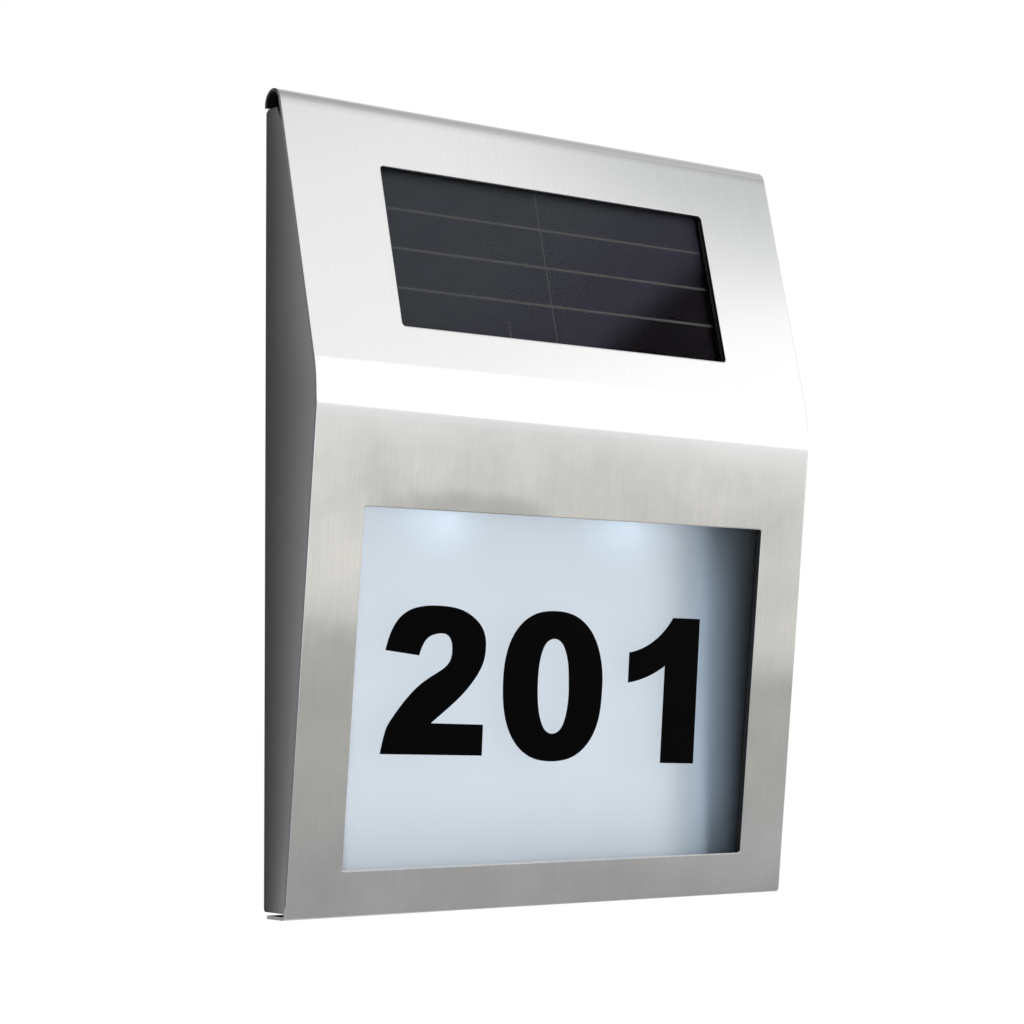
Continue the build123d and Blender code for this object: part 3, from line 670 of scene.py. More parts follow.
@dataclass(frozen=True)
class SoftFoam(Finish):
    """Closed-cell foam with small pits."""

    colour: Colour = (0.008, 0.008, 0.009)
    rim: Colour = (0.022, 0.022, 0.023)
    roughness: float = 0.85
    pit: float = 0.35 * MM
    relief: float = 0.05 * MM

    def sockets(self, graph: Graph) -> Sockets:
        """Pits in relief and colour.

        Args:
            graph: The finish's graph.

        Returns:
            The shader's sockets.
        """
        point = graph.stretched((self.pit, self.pit, self.pit))
        sockets = {"Vector": point, "Scale": 1.0}
        pits = graph.node(Texture.CELLS.value, {"feature": "F1"}, sockets, out="Distance")
        return {
            "Base Color": graph.blend(pits, self.colour, self.rim),
            "Roughness": self.roughness,
            "Normal": graph.bump(pits, self.relief),
        }


@dataclass(frozen=True)
class FrostedAcrylic(Finish):
    """Pale acrylic with a fine frosted face that blurs what lies behind it."""

    colour: Colour = (0.93, 0.965, 0.99)
    veil: Colour = (0.88, 0.93, 0.965)
    sheen: Colour = (0.6, 0.85, 1.0)
    # Painted glow: the panel itself emits light along its far end and its near rim.
    spill: Colour = (0.0575, 0.074, 0.096)
    spill_near: Pair = (48.5 * MM, 57 * MM)
    spill_far: Pair = (71 * MM, 57 * MM)
    spill_top: Pair = (-35 * MM, -70 * MM)
    spill_foot: Pair = (-147 * MM, -112 * MM)
    spill_lean: float = 0.074
    spill_set: float = 14.3 * MM
    rim: Colour = (0.075, 0.08, 0.085)
    rim_side: Pair = (-58.8 * MM, -61.6 * MM)
    rim_foot: Pair = (-100 * MM, -124 * MM)
    roughness: float = 0.46
    shine: float = 0.3
    index: float = 1.38
    frost: float = 0.12 * MM
    frost_rough: float = 0.1
    relief: float = 0.004 * MM
    cloud: float = 30 * MM
    cloud_rough: float = 0.05

    def sockets(self, graph: Graph) -> Sockets:
        """Frost in relief and gloss, faint clouds, and a painted glow at the far end and the near rim.

        Args:
            graph: The finish's graph.

        Returns:
            The shader's sockets.
        """
        frost = graph.noise(self.frost, detail=2.0)
        cloud = graph.noise(self.cloud, detail=2.0)
        across, _, height = graph.axes(graph.place())
        # Painted glow along the far end and the near rim.
        leaning = across + height * self.spill_lean + self.spill_set
        spilt = graph.step(leaning, *self.spill_near) * graph.step(leaning, *self.spill_far)
        spilt = spilt * graph.step(height, *self.spill_top) * graph.step(height, *self.spill_foot)
        rim = graph.step(across, *self.rim_side) * graph.step(height, *self.rim_foot)
        return {
            "Emission Color": graph.blend(rim, graph.blend(spilt, BLACK, self.spill), self.rim),
            "Emission Strength": 1.0,
            "Base Color": graph.blend(cloud, self.colour, self.veil),
            "Roughness": frost.swing(self.frost_rough) + cloud.swing(self.cloud_rough) + self.roughness,
            "Transmission Weight": 1.0,
            "Specular IOR Level": self.shine,
            "Specular Tint": self.sheen,
            "IOR": self.index,
            "Normal": graph.bump(frost, self.relief),
        }


@dataclass(frozen=True)
class ClearSheet(Finish):
    """Clear sheet with a thin film of dust and hairline scratches."""

    colour: Colour = (0.95, 0.965, 0.98)
    roughness: float = 0.09
    index: float = 1.1
    dust: float = 9 * MM
    dust_tone: float = 0.96
    dust_rough: float = 0.08
    hair: float = 0.4 * MM
    hair_run: float = 12 * MM
    relief: float = 0.002 * MM

    def sockets(self, graph: Graph) -> Sockets:
        """Dust in colour and gloss, scratches in relief.

        Args:
            graph: The finish's graph.

        Returns:
            The shader's sockets.
        """
        dust = graph.noise(self.dust, detail=4.0, rough=0.6)
        hair = graph.noise((self.hair_run, self.hair, self.hair), detail=1.0)
        return {
            "Base Color": graph.blend(dust, self.colour, toned(self.colour, self.dust_tone)),
            "Roughness": dust.swing(self.dust_rough) + self.roughness,
            "Transmission Weight": 1.0,
            "IOR": self.index,
            "Normal": graph.bump(hair, self.relief),
        }


@dataclass(frozen=True)
class PrintedFilm(Finish):
    """Opaque black film with a faint orange-peel face."""

    colour: Colour = (0.0008, 0.0008, 0.0009)
    thin: Colour = (0.0016, 0.0016, 0.0018)
    roughness: float = 0.5
    shine: float = 0.03
    peel: float = 0.9 * MM
    peel_rough: float = 0.12
    relief: float = 0.006 * MM
    cloud: float = 7.2 * MM

    def sockets(self, graph: Graph) -> Sockets:
        """Peel in relief and gloss, faint clouds in colour.

        Args:
            graph: The finish's graph.

        Returns:
            The shader's sockets.
        """
        peel = graph.noise(self.peel, detail=2.0)
        cloud = graph.noise(self.cloud, detail=2.0)
        return {
            "Base Color": graph.blend(cloud, self.colour, self.thin),
            "Roughness": peel.swing(self.peel_rough) + self.roughness,
            "Specular IOR Level": self.shine,
            "Normal": graph.bump(peel, self.relief),
        }


@dataclass(frozen=True)
class SolarSilicon(Finish):
    """Dark thin-film silicon: blue-black, turning purple and then near black towards one corner."""

    colour: Colour = (0.066, 0.07, 0.08)
    purple: Colour = (0.05, 0.047, 0.068)
    tint: Colour = (0.003, 0.001, 0.0035)
    roughness: float = 0.4
    grain: float = 0.25 * MM
    grain_swing: float = 0.3
    grain_level: float = 0.1
    grain_rough: float = 0.2
    slant: float = 0.7
    turning: Pair = (-30 * MM, 8 * MM)
    dark: Pair = (6 * MM, 19 * MM)

    def sockets(self, graph: Graph) -> Sockets:
        """Tints that change towards one corner, over a fine crystal grain.

        Args:
            graph: The finish's graph.

        Returns:
            The shader's sockets.
        """
        across, _, height = graph.axes(graph.place())
        grain = graph.noise(self.grain, detail=2.0)
        corner = across * self.slant - height
        film = graph.blend(graph.step(corner, *self.turning), self.colour, self.purple)
        body = graph.blend(graph.step(corner, *self.dark), film, self.tint)
        return {
            "Base Color": graph.blend(grain.swing(self.grain_swing) + self.grain_level, body, self.tint),
            "Roughness": grain.swing(self.grain_rough) + self.roughness,
            "Specular IOR Level": 0.0,
        }


@dataclass(frozen=True)
class LitSheet(Finish):
    """Sheet that glows with painted light over a dark base colour, in place of the lamps' light."""

    top: float
    bottom: float
    lamps: Pair
    colour: Colour = (0.1, 0.102, 0.104)
    glow: Colour = (0.764, 0.814, 0.868)
    shade: Colour = (0.636, 0.695, 0.755)
    # Painted shade towards the far end.
    far_shade: Colour = (0.0, 0.043, 0.08)
    # Painted pool of light under each lamp.
    halo: Colour = (0.78, 0.868, 0.965)
    halo_half: Pair = (15 * MM, 12 * MM)
    halo_drop: float = 7 * MM
    strength: float = 0.93
    roughness: float = 0.6
    cloud: float = 40 * MM
    cloud_tone: float = 0.97
    brightest: float = 0.45
    fall: float = 1.7
    fall_power: float = 0.6
    far: Pair = (37.8 * MM, 63.8 * MM)
    far_loss: float = 0.85
    # Painted shade at the foot.
    foot: Pair = (0.22, -0.08)
    foot_loss: float = 0.22

    def sockets(self, graph: Graph) -> Sockets:
        """Painted light that is strongest under the lamps and midway down, with painted shade at the foot
        and the far end.

        Args:
            graph: The finish's graph.

        Returns:
            The shader's sockets.
        """
        across, _, height = graph.axes(graph.place())
        share = (height - self.bottom) / (self.top - self.bottom)
        middle = (1.0 - abs(share - self.brightest) * self.fall).limited()
        light = graph.blend(middle ** self.fall_power, self.shade, self.glow)
        # Painted pools of light under the lamps.
        for lamp in self.lamps:
            lit = graph.oval(across, height, (lamp, self.top - self.halo_drop), self.halo_half)
            light = graph.blend(lit, light, self.halo)
        # Painted shade at the foot.
        above = graph.blend(graph.step(share, *self.foot) * self.foot_loss, light, BLACK)
        cloud = graph.noise(self.cloud, detail=1.0)
        return {
            "Base Color": graph.blend(cloud, self.colour, toned(self.colour, self.cloud_tone)),
            "Roughness": self.roughness,
            # Painted glow, with painted shade towards the far end.
            "Emission Color": graph.blend(graph.step(across, *self.far) * self.far_loss, above, self.far_shade),
            "Emission Strength": self.strength,
        }


@dataclass(frozen=True)
class LampResin(Finish):
    """Water-clear lamp resin, lit from within."""

    colour: Colour = (0.9, 0.95, 1.0)
    glow: Colour = (0.75, 0.88, 1.0)
    strength: float = 0.6
    roughness: float = 0.08
    flow: float = 1.2 * MM
    flow_rough: float = 0.06

    def sockets(self, graph: Graph) -> Sockets:
        """Flow lines in the resin.

        Args:
            graph: The finish's graph.

        Returns:
            The shader's sockets.
        """
        flow = graph.noise(self.flow, detail=1.0)
        return {
            "Base Color": graph.blend(flow, self.colour, self.glow),
            "Roughness": flow.swing(self.flow_rough) + self.roughness,
            "Emission Color": graph.blend(flow, self.glow, self.colour),
            "Emission Strength": self.strength,
        }


@dataclass(frozen=True)
class CircuitBoard(Finish):
    """Solder mask over copper tracks."""

    colour: Colour = (0.012, 0.09, 0.03)
    track: Colour = (0.03, 0.2, 0.06)
    roughness: float = 0.32
    rough_swing: float = 0.12
    track_span: Pair = (0.62, 0.72)
    pitch: float = 1.6 * MM
    relief: float = 0.02 * MM

    def sockets(self, graph: Graph) -> Sockets:
        """Tracks in colour and relief.

        Args:
            graph: The finish's graph.

        Returns:
            The shader's sockets.
        """
        point = graph.stretched((self.pitch, self.pitch, self.pitch))
        sockets = {"Vector": point, "Scale": 0.5, "Distortion": 1.4, "Detail": 1.0}
        wave = graph.node(Texture.WAVE.value, {"bands_direction": "Z"}, sockets, out="Fac")
        tracks = graph.step(wave, *self.track_span)
        return {
            "Base Color": graph.blend(tracks, self.colour, self.track),
            "Roughness": graph.noise(self.pitch).swing(self.rough_swing) + self.roughness,
            "Normal": graph.bump(tracks, self.relief),
        }


@dataclass(frozen=True)
class WoundCopper(Finish):
    """Enamelled copper wire wound in close turns between dark cheeks."""

    low: float
    high: float
    copper: Colour = (0.62, 0.27, 0.11)
    cheek: Colour = (0.02, 0.02, 0.02)
    cheek_depth: float = 0.7 * MM
    roughness: float = 0.38
    turn: float = 0.28 * MM
    turn_rough: float = 0.2
    relief: float = 0.028 * MM

    def sockets(self, graph: Graph) -> Sockets:
        """Turns of wire in relief, with the cheeks at both ends.

        Args:
            graph: The finish's graph.

        Returns:
            The shader's sockets.
        """
        depth = graph.axes(graph.place())[1]
        wound = depth.above(self.low + self.cheek_depth) * (1.0 - depth.above(self.high - self.cheek_depth))
        point = graph.stretched((1.0, self.turn, 1.0))
        sockets = {"Vector": point, "Scale": 0.5}
        turns = graph.node(Texture.WAVE.value, {"bands_direction": "Y"}, sockets, out="Fac")
        return {
            "Base Color": graph.blend(wound, self.cheek, self.copper),
            "Metallic": wound,
            "Roughness": turns.swing(self.turn_rough) + self.roughness,
            "Normal": graph.bump(turns, self.relief),
        }


@dataclass(frozen=True)
class ShrinkSleeve(Finish):
    """Shrink sleeve of a rechargeable cell: a coloured body with a pale band near one end."""

    colour: Colour = (0.03, 0.16, 0.07)
    band: Colour = (0.62, 0.63, 0.62)
    bare: Colour = (0.7, 0.69, 0.66)
    band_from: float = 12 * MM
    cap_from: float = 26.4 * MM
    roughness: float = 0.28
    wrinkle: float = 2.2 * MM
    wrinkle_run: float = 8.8 * MM
    wrinkle_rough: float = 0.16
    relief: float = 0.02 * MM

    def sockets(self, graph: Graph) -> Sockets:
        """The band by place along the cell, bare metal at the cap, and faint wrinkles.

        Args:
            graph: The finish's graph.

        Returns:
            The shader's sockets.
        """
        along = graph.axes(graph.place())[0]
        wrinkle = graph.noise((self.wrinkle_run, self.wrinkle, self.wrinkle), detail=2.0)
        sleeve = graph.blend(along.above(self.band_from), self.colour, self.band)
        cap = along.above(self.cap_from)
        return {
            "Base Color": graph.blend(cap, sleeve, self.bare),
            "Metallic": cap,
            "Roughness": wrinkle.swing(self.wrinkle_rough) + self.roughness,
            "Normal": graph.bump(wrinkle, self.relief),
        }


@dataclass(frozen=True)
class WireJacket(Finish):
    """Soft wire insulation in two colours, one for each of a pair."""

    first: Colour = (0.42, 0.02, 0.018)
    second: Colour = (0.012, 0.012, 0.012)
    divide: float = 0.0
    roughness: float = 0.42
    ripple: float = 0.8 * MM
    ripple_rough: float = 0.15
    relief: float = 0.03 * MM

    def sockets(self, graph: Graph) -> Sockets:
        """One colour on each side of a plane, with a faint ripple.

        Args:
            graph: The finish's graph.

        Returns:
            The shader's sockets.
        """
        across = graph.axes(graph.place())[0]
        ripple = graph.noise(self.ripple, detail=1.0)
        return {
            "Base Color": graph.blend(across.above(self.divide), self.first, self.second),
            "Roughness": ripple.swing(self.ripple_rough) + self.roughness,
            "Normal": graph.bump(ripple, self.relief),
        }


@dataclass(frozen=True)
class ScreenPrint(Finish):
    """Thin printed ink, a little uneven."""

    colour: Colour = (0.5, 0.5, 0.49)
    thin: Colour = (0.36, 0.36, 0.355)
    roughness: float = 0.55
    patch: float = 0.7 * MM
    patch_rough: float = 0.2

    def sockets(self, graph: Graph) -> Sockets:
        """Uneven ink in colour and gloss.

        Args:
            graph: The finish's graph.

        Returns:
            The shader's sockets.
        """
        patch = graph.noise(self.patch, detail=3.0)
        return {
            "Base Color": graph.blend(patch, self.colour, self.thin),
            "Roughness": patch.swing(self.patch_rough) + self.roughness,
        }


# Shared steps for pieces


@dataclass(frozen=True)
class Sheet:
    """A flat face of a node: its middle, its directions and its half sizes."""

    middle: Vector
    across: Vector
    up: Vector
    out: Vector
    half_across: float
    half_up: float

    @classmethod
    def front_of(cls, node: str) -> "Sheet":
        """The front face of a flat node.

        Args:
            node: The node's name.

        Returns:
            The face that the viewer sees from the front.
        """
        mesh = frame["nodes"][node].data
        out = Vector()
        for face in mesh.polygons:
            if face.normal.y < FRONT_TURN:
                out += face.normal * face.area
        out.normalize()
        across = Vector((1.0, 0.0, 0.0))
        up = out.cross(across)
        points = [vertex.co for vertex in mesh.vertices]
        front = max(point.dot(out) for point in points)
        spans = [(min(p.dot(way) for p in points), max(p.dot(way) for p in points)) for way in (across, up)]
        middle = out * front + across * sum(spans[0]) / 2 + up * sum(spans[1]) / 2
        return cls(middle, across, up, out, (spans[0][1] - spans[0][0]) / 2, (spans[1][1] - spans[1][0]) / 2)

    def at(self, across: float, up: float, out: float = 0.0) -> Vector:
        """A point given by its distances from the middle, in metres."""
        return self.middle + self.across * across + self.up * up + self.out * out


def dress(finish: Finish, *nodes: str) -> None:
    """Gives nodes of the frame a finish.

    Args:
        finish: The finish.
        nodes: The nodes that wear it.
    """
    material = finish.material()
    for node in nodes:
        mesh = frame["nodes"][node].data
        mesh.materials.clear()
        mesh.materials.append(material)
        log.info("%s wears %s", node, finish.name)


def new_object(name: str, data: bpy.types.ID) -> bpy.types.Object:
    """Adds an object to the scene.

    Args:
        name: Its name.
        data: Its mesh, text, lamp or camera.

    Returns:
        The object.
    """
    made = bpy.data.objects.new(name, data)
    bpy.context.scene.collection.objects.link(made)
    return made


def add_piece(name: str, mesh: bpy.types.Mesh, finish: Finish) -> None:
    """Adds a new piece that is fixed to the housing.

    Args:
        name: The piece's name.
        mesh: Its mesh, in the part's frame.
        finish: Its finish.
    """
    piece = new_object(name, mesh)
    mesh.materials.append(finish.material())
    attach(piece, HOUSING_BODY)
    log.info("%s added on %s with %d faces", name, HOUSING_BODY, len(mesh.polygons))


# Sub-assemblies


@dataclass
class SteelCover:
    """The folded cover, and the screws of the whole light."""

    steel: BrushedSteel = BrushedSteel("brushed_stainless")
    zinc: PlatedMetal = PlatedMetal("screw_steel")

    def dress(self) -> None:
        """Dresses the cover and the screws."""
        dress(self.steel, "front_cover")
        dress(self.zinc, "cover_screws", "back_plate_screws", "board_screws", "battery_door_screw")


@dataclass
class Case:
    """The moulded housing, the back plate, its door and the seals."""

    # The housing's outer sides get painted light, paler towards the front.
    abs_case: MouldedPlastic = MouldedPlastic(
        "housing_plastic",
        colour=(0.01, 0.01, 0.0104),
        worn_and_lit=(0.25, 0.25, 0.254),
        wear=0.2,
        side_light=0.9,
        shine=0.35,
    )
    abs_back: MouldedPlastic = MouldedPlastic("back_plastic", colour=(0.03, 0.03, 0.031), grain=0.4 * MM)
    foam: SoftFoam = SoftFoam("black_foam")

    def dress(self) -> None:
        """Dresses the mouldings and the seals."""
        dress(self.abs_case, "housing")
        dress(self.abs_back, "back_plate", "battery_door")
        dress(self.foam, "back_gasket", "number_gasket", "solar_gasket")


@dataclass
class NumberLight:
    """The frosted panel, its numerals and the light box behind them."""

    lamp_energy: float = 0.00012
    lamp_colour: Colour = (0.72, 0.86, 1.0)
    lamp_radius: float = 1.5 * MM
    lamp_drop: float = 0.6 * MM

    @staticmethod
    def lamp_places() -> Pair:
        """The middles of the two lamp domes along X.

        Returns:
            The left one and the right one.
        """
        low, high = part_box("leds")
        radius = (high.y - low.y) / 2
        return low.x + radius, high.x - radius

    def dress(self) -> None:
        """Dresses the panel, the numerals, the reflector, the boards and the lamps."""
        low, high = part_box("reflector")
        # The reflector glows with painted light over a dark base colour.
        lit_sheet = LitSheet("white_reflector", top=high.z, bottom=low.z, lamps=self.lamp_places())
        dress(FrostedAcrylic("frosted_acrylic"), "number_panel")
        dress(PrintedFilm("black_film"), "digit_two", "digit_zero", "digit_one")
        dress(lit_sheet, "reflector")
        dress(CircuitBoard("green_board"), "led_board", "control_board")
        dress(LampResin("lamp_resin"), "leds")

    def light(self) -> None:
        """Puts a small lamp under each of the two lamp domes."""
        low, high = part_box("leds")
        for name, x in zip(("left_led_light", "right_led_light"), self.lamp_places()):
            lamp = bpy.data.lights.new(name, "POINT")
            lamp.energy = self.lamp_energy
            lamp.color = self.lamp_colour
            lamp.shadow_soft_size = self.lamp_radius
            holder = new_object(name, lamp)
            holder.location = (x, (low.y + high.y) / 2, low.z - self.lamp_radius - self.lamp_drop)
            holder.visible_transmission = False
            log.info("%s lit", name)


@dataclass
class SolarPanel:
    """The clear cover, the cell strips, their board and the printed conductors."""

    rows: int = 4
    gap: float = 0.4 * MM
    row_width: float = 0.65 * MM
    line_width: float = 0.3 * MM
    line_proud: float = 0.02 * MM
    ease_from: float = 0.4
    ease_share: float = 0.86
    middle_line: float = -2.5 * MM
    tick_place: float = -17.0 * MM
    tick_height: float = 4.5 * MM
    ink: ScreenPrint = ScreenPrint("conductor_ink", colour=(0.083, 0.079, 0.073), thin=(0.066, 0.063, 0.058))

    def dress(self) -> None:
        """Dresses the stack."""
        dress(ClearSheet("clear_cover"), "solar_cover")
        dress(SolarSilicon("solar_cell"), "solar_cells")
        dress(MouldedPlastic("dark_board", colour=(0.008, 0.008, 0.009), roughness=0.4), "solar_board")

    def build(self) -> None:
        """Adds the conductors: lines in the gaps, one line across all strips and a short tick."""
        face = Sheet.front_of("solar_cells")
        pitch = (2 * face.half_up + self.gap) / self.rows
        shape = bmesh.new()
        for row in range(1, self.rows):
            up = -face.half_up - self.gap / 2 + row * pitch
            self._bar(shape, face, (0.0, up), (face.half_across, self.row_width / 2))
        self._bar(shape, face, (self.middle_line, 0.0), (self.line_width / 2, face.half_up))
        tick_up = -face.half_up + self.tick_height / 2
        self._bar(shape, face, (self.tick_place, tick_up), (self.line_width / 2, self.tick_height / 2))
        mesh = bpy.data.meshes.new("cell_conductors")
        shape.to_mesh(mesh)
        shape.free()
        add_piece("cell_conductors", mesh, self.ink)

    def _bar(
        self,
        shape: bmesh.types.BMesh,
        face: Sheet,
        middle: Pair,
        half: Pair,
    ) -> None:
        """Adds one flat conductor with eased long edges.

        Args:
            shape: The mesh that it is added to.
            face: The face of the cells.
            middle: Its middle on that face.
            half: Its half sizes on that face.
        """
        levels = [(0.0, 1.0), (self.ease_from * self.line_proud, 1.0), (self.line_proud, self.ease_share)]
        loops = []
        for out, share in levels:
            wide, tall = half[0] * share, half[1] * share
            corners = [face.at(middle[0] + x * wide, middle[1] + y * tall, out) for x, y in CORNERS]
            loops.append([shape.verts.new(corner) for corner in corners])
        shape.faces.new(reversed(loops[0]))
        shape.faces.new(loops[-1])
        for lower, upper in zip(loops, loops[1:]):
            for turn in range(len(CORNERS)):
                after = (turn + 1) % len(CORNERS)
                shape.faces.new((lower[turn], lower[after], upper[after], upper[turn]))


@dataclass
class SwitchGear:
    """The control board's parts, the slide switch and its ON and OFF marks."""

    mark_height: float = 1.9 * MM
    mark_depth: float = 0.12 * MM
    mark_gap: float = 2.0 * MM
    recess: float = 1.0 * MM
    ink: ScreenPrint = ScreenPrint("switch_print", colour=(0.72, 0.72, 0.7), thin=(0.55, 0.55, 0.53))

    def dress(self) -> None:
        """Dresses the parts on the board, the switch and the wires."""
        low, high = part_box("boost_coil")
        resin = MouldedPlastic("black_resin", colour=(0.015, 0.015, 0.016), grain=0.2 * MM, edge=0.1 * MM)
        knob = MouldedPlastic(
            "slider_plastic",
            colour=(0.6, 0.6, 0.585),
            worn_and_lit=(0.7, 0.7, 0.68),
            grain=0.25 * MM,
            edge=0.15 * MM,
        )
        dress(resin, "control_chip", "switch_body")
        dress(WoundCopper("coil_copper", low=low.y, high=high.y), "boost_coil")
        dress(PlatedMetal("can_aluminium", colour=(0.78, 0.78, 0.79), mark=0.2 * MM), "charge_capacitor")
        dress(knob, "switch_slider")
        dress(WireJacket("wire_jacket"), "solar_leads", "battery_leads")
        leads_low, leads_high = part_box("led_leads")
        dress(WireJacket("lamp_wire_jacket", divide=(leads_low.x + leads_high.x) / 2), "led_leads")

    def build(self) -> None:
        """Prints OFF beside the slider's resting end and ON beside the other, in the finger recess."""
        low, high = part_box("switch_slider")
        travel = frame["joints"][0]["range_m"][1]
        middle = (low.z + high.z) / 2
        left = low.x - self.mark_gap
        right = high.x + travel + self.mark_gap
        for name, word, x in (("off_mark", "OFF", left), ("on_mark", "ON", right)):
            self._mark(name, word, Vector((x, -self.recess, middle)))

    def _mark(self, name: str, word: str, place: Vector) -> None:
        """Adds a printed word that reads from behind.

        Args:
            name: The piece's name.
            word: The word.
            place: Its middle, on the floor of the recess.
        """
        text = bpy.data.curves.new(name, "FONT")
        text.body = word
        text.size = self.mark_height
        text.align_x = "CENTER"
        text.align_y = "CENTER"
        text.extrude = self.mark_depth / 2
        holder = new_object(name + "_text", text)
        bpy.context.view_layer.update()
        mesh = bpy.data.meshes.new_from_object(holder.evaluated_get(bpy.context.evaluated_depsgraph_get()))
        bpy.data.objects.remove(holder)
        rows = (
            (0.0, 1.0, 0.0, place.x),
            (0.0, 0.0, 1.0, place.y + self.mark_depth / 2),
            (1.0, 0.0, 0.0, place.z),
            (0.0, 0.0, 0.0, 1.0),
        )
        mesh.transform(Matrix(rows))
        mesh.name = name
        add_piece(name, mesh, self.ink)


@dataclass
class BatteryBay:
    """The rechargeable cell and its contacts."""

    sleeve: ShrinkSleeve = ShrinkSleeve("battery_sleeve")
    nickel: PlatedMetal = PlatedMetal("contact_nickel", colour=(0.74, 0.71, 0.64), roughness=0.2)

    def dress(self) -> None:
        """Dresses the cell, the spring and the contact."""
        dress(self.sleeve, "battery")
        dress(self.nickel, "battery_contact", "battery_spring")


# Studio


@dataclass(frozen=True)
class StageMatt:
    """A matt stage surface that can grow paler with distance in front of the object."""

    name: str
    tone: Pair
    tone_span: Pair
    shine: Pair = (0.0, 0.0)
    shine_span: Pair = (0.0, 1.0)
    lift: float = 0.0
    slant: float = 0.0

    def material(self, ahead: Vector) -> bpy.types.Material:
        """Builds the surface.

        Args:
            ahead: The direction in which the distance is measured.

        Returns:
            A material that is lifted for the camera, so that a pale floor shows white, and shines for metal.
        """
        made = bpy.data.materials.new(self.name)
        graph = Graph.of(made)
        point = graph.node("ShaderNodeNewGeometry", out="Position")
        distance = graph.along(point, ahead)
        leftward = graph.along(point, (ahead.y, -ahead.x, 0.0))
        near, far = [(tone,) * 3 for tone in self.tone]
        away = graph.step(distance, *self.tone_span)
        colour = graph.blend(away, near, far)
        gloss = graph.step(distance, *self.shine_span) * (self.shine[1] - self.shine[0]) + self.shine[0]
        gloss = (gloss + leftward * (1.0 - away) * self.slant).most(0.0)
        seen = graph.node("ShaderNodeLightPath", out="Is Camera Ray")
        shown = seen * self.lift + seen.other("Is Glossy Ray") * gloss
        matt = graph.node("ShaderNodeBsdfDiffuse", sockets={"Color": colour})
        glow = graph.node("ShaderNodeEmission", sockets={"Strength": shown})
        both = graph.node("ShaderNodeAddShader", sockets={0: matt, 1: glow})
        graph.node("ShaderNodeOutputMaterial", sockets={"Surface": both})
        return made


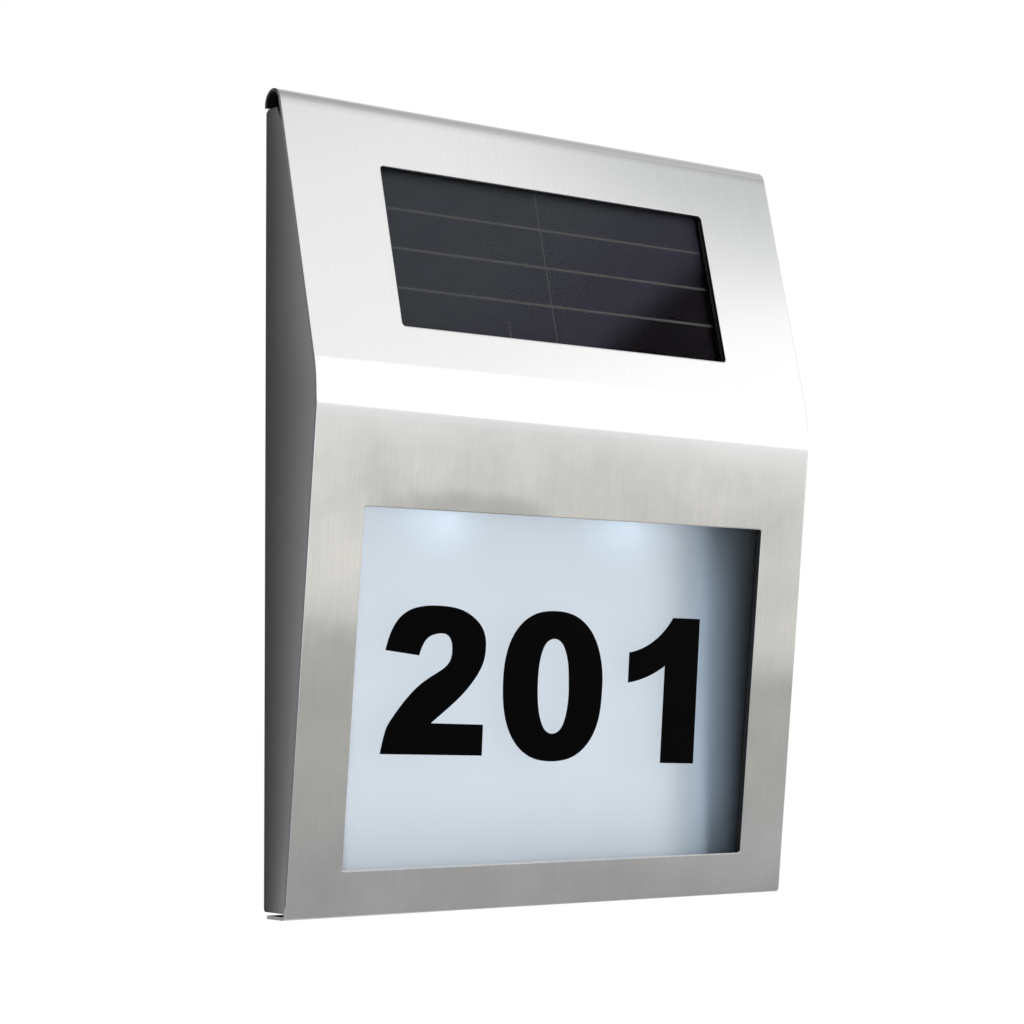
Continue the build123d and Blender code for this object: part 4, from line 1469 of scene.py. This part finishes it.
@dataclass
class Studio:
    """Camera, floor, grey card and white surroundings."""

    eye: Vector = Vector((-378.704 * MM, -496.214 * MM, -97.6 * MM))
    yaw: float = math.radians(36.953)
    pitch: float = math.radians(3.435)
    roll: float = math.radians(-0.162)
    focal: float = 2456.24 / PICTURE_SIDE
    centre: Pair = (507.575 / PICTURE_SIDE, 571.363 / PICTURE_SIDE)
    sensor: float = 36.0
    clip_near: float = 10 * MM
    floor_drop: float = 0.25
    floor_half: float = 6.0
    card_half: float = 1.6
    card_reach: float = 2.1
    card_lift: float = 1 * MM
    card_way: Vector = Vector((0.529, -0.8486, 0.0))
    pale: StageMatt = StageMatt(
        "pale_floor",
        tone=(0.76, 0.83),
        tone_span=(2.4, 6.0),
        shine=(0.125, 0.245),
        shine_span=(2.05, 2.45),
        lift=0.44,
        slant=0.15,
    )
    grey: StageMatt = StageMatt("grey_card", tone=(0.522, 0.615), tone_span=(1.0, 1.27))
    plain: float = 0.83
    brightest: float = 1.27
    sky: tuple[Pair, ...] = (
        (0.42, 1.27), (0.465, 1.235), (0.49, 1.11), (0.51, 1.07), (0.567, 1.01), (0.59, 0.93),
        (0.647, 0.867), (0.725, 0.753), (0.78, 0.69), (0.81, 0.69), (0.86, 0.55),
    )
    sheet_foot: Colour = (0.4042, 0.4003, 0.8224)
    sheet_foot_span: Pair = (-0.01, 0.01)
    sheet_way: Colour = (0.55, -0.79, 0.26)
    sheet_span: Pair = (0.6, 0.7)
    gap_way: Colour = (0.6707, -0.4524, 0.5878)
    gap_span: Pair = (0.9848, 0.9945)
    gap_rise: Pair = (0.68, 0.54)
    gap_loss: float = 0.41
    gap_tint: Colour = (0.965, 0.99, 1.0)

    def camera(self) -> None:
        """Sets the camera where the view was taken from."""
        ahead = Vector(
            (
                math.sin(self.yaw) * math.cos(self.pitch),
                math.cos(self.yaw) * math.cos(self.pitch),
                math.sin(self.pitch),
            )
        )
        level = Vector((math.cos(self.yaw), -math.sin(self.yaw), 0.0))
        above = level.cross(ahead)
        right = level * math.cos(self.roll) + above * math.sin(self.roll)
        up = above * math.cos(self.roll) - level * math.sin(self.roll)
        data = bpy.data.cameras.new("camera")
        data.sensor_width = self.sensor
        data.lens = self.focal * self.sensor
        data.shift_x = 0.5 - self.centre[0]
        data.shift_y = self.centre[1] - 0.5
        data.clip_start = self.clip_near
        holder = new_object("camera", data)
        turn = Matrix((right, up, -ahead)).transposed()
        holder.matrix_world = Matrix.Translation(self.eye) @ turn.to_4x4()
        bpy.context.scene.camera = holder

    def floor(self) -> None:
        """Lays a plain pale floor below the hanging light, and a grey card that only the metal shows."""
        level = cad_low.z - self.floor_drop
        pale = self.pale.material(self.card_way)
        self._plane("floor", (0.0, 0.0, level), (self.floor_half, self.floor_half), 0.0, pale)
        half = (self.card_half, self.card_reach / 2)
        middle = self.card_way * half[1]
        turn = math.atan2(self.card_way.y, self.card_way.x) - math.pi / 2
        grey = self.grey.material(self.card_way)
        card = self._plane("grey_card", (middle.x, middle.y, level + self.card_lift), half, turn, grey)
        for ray in ("camera", "diffuse", "transmission", "shadow"):
            setattr(card, "visible_" + ray, False)

    def _plane(
        self,
        name: str,
        middle: Sequence[float],
        half: Sequence[float],
        turn: float,
        material: bpy.types.Material,
    ) -> bpy.types.Object:
        """Adds a level rectangle to the stage.

        Args:
            name: Its name.
            middle: Its middle.
            half: Its half sizes.
            turn: Its turn about the vertical.
            material: Its material.

        Returns:
            The rectangle.
        """
        corners = [(x * half[0], y * half[1], 0.0) for x, y in CORNERS]
        mesh = bpy.data.meshes.new(name)
        mesh.from_pydata(corners, [], [(0, 1, 2, 3)])
        mesh.materials.append(material)
        made = new_object(name, mesh)
        made.location = middle
        made.rotation_euler = (0.0, 0.0, turn)
        return made

    def world(self) -> None:
        """Surrounds the object with white, greyer overhead, and a tall bright sheet in front with a gap."""
        made = bpy.data.worlds.new("white_surroundings")
        graph = Graph.of(made)
        camera = graph.node("ShaderNodeLightPath", out="Is Camera Ray")
        way = graph.node("ShaderNodeTexCoord", out="Generated")
        stops = [(place, (tone / self.brightest,) * 3) for place, tone in self.sky]
        rise = graph.axes(way)[2]
        sky = graph.node("ShaderNodeValToRGB", {"stops": stops}, {"Fac": rise}) * self.brightest
        around = sky.least(self.plain)
        above_foot = graph.step(graph.along(way, self.sheet_foot), *self.sheet_foot_span)
        ahead = graph.step(graph.along(way, self.sheet_way), *self.sheet_span)
        gap = graph.step(graph.along(way, self.gap_way), *self.gap_span) * graph.step(rise, *self.gap_rise)
        level = around + above_foot * ahead * (sky - gap * self.gap_loss - around)
        tint = graph.blend(gap * (1.0 - camera), WHITE, self.gap_tint)
        shown = level + camera * (1.0 - level)
        light = graph.node("ShaderNodeBackground", sockets={"Color": tint, "Strength": shown})
        graph.node("ShaderNodeOutputWorld", sockets={"Surface": light})
        bpy.context.scene.world = made

    def build(self) -> None:
        """Sets up the whole studio."""
        bpy.context.scene.view_settings.view_transform = "Standard"
        self.camera()
        self.floor()
        self.world()
        log.info("studio ready")


def main() -> None:
    """Dresses the frame, adds the pieces that it lacks and sets up the studio."""
    logging.basicConfig(level=logging.INFO, format="%(name)s: %(message)s")
    SteelCover().dress()
    Case().dress()
    number_light = NumberLight()
    number_light.dress()
    number_light.light()
    solar_panel = SolarPanel()
    solar_panel.dress()
    solar_panel.build()
    switch_gear = SwitchGear()
    switch_gear.dress()
    switch_gear.build()
    BatteryBay().dress()
    Studio().build()


if __name__ == "__main__":
    main()
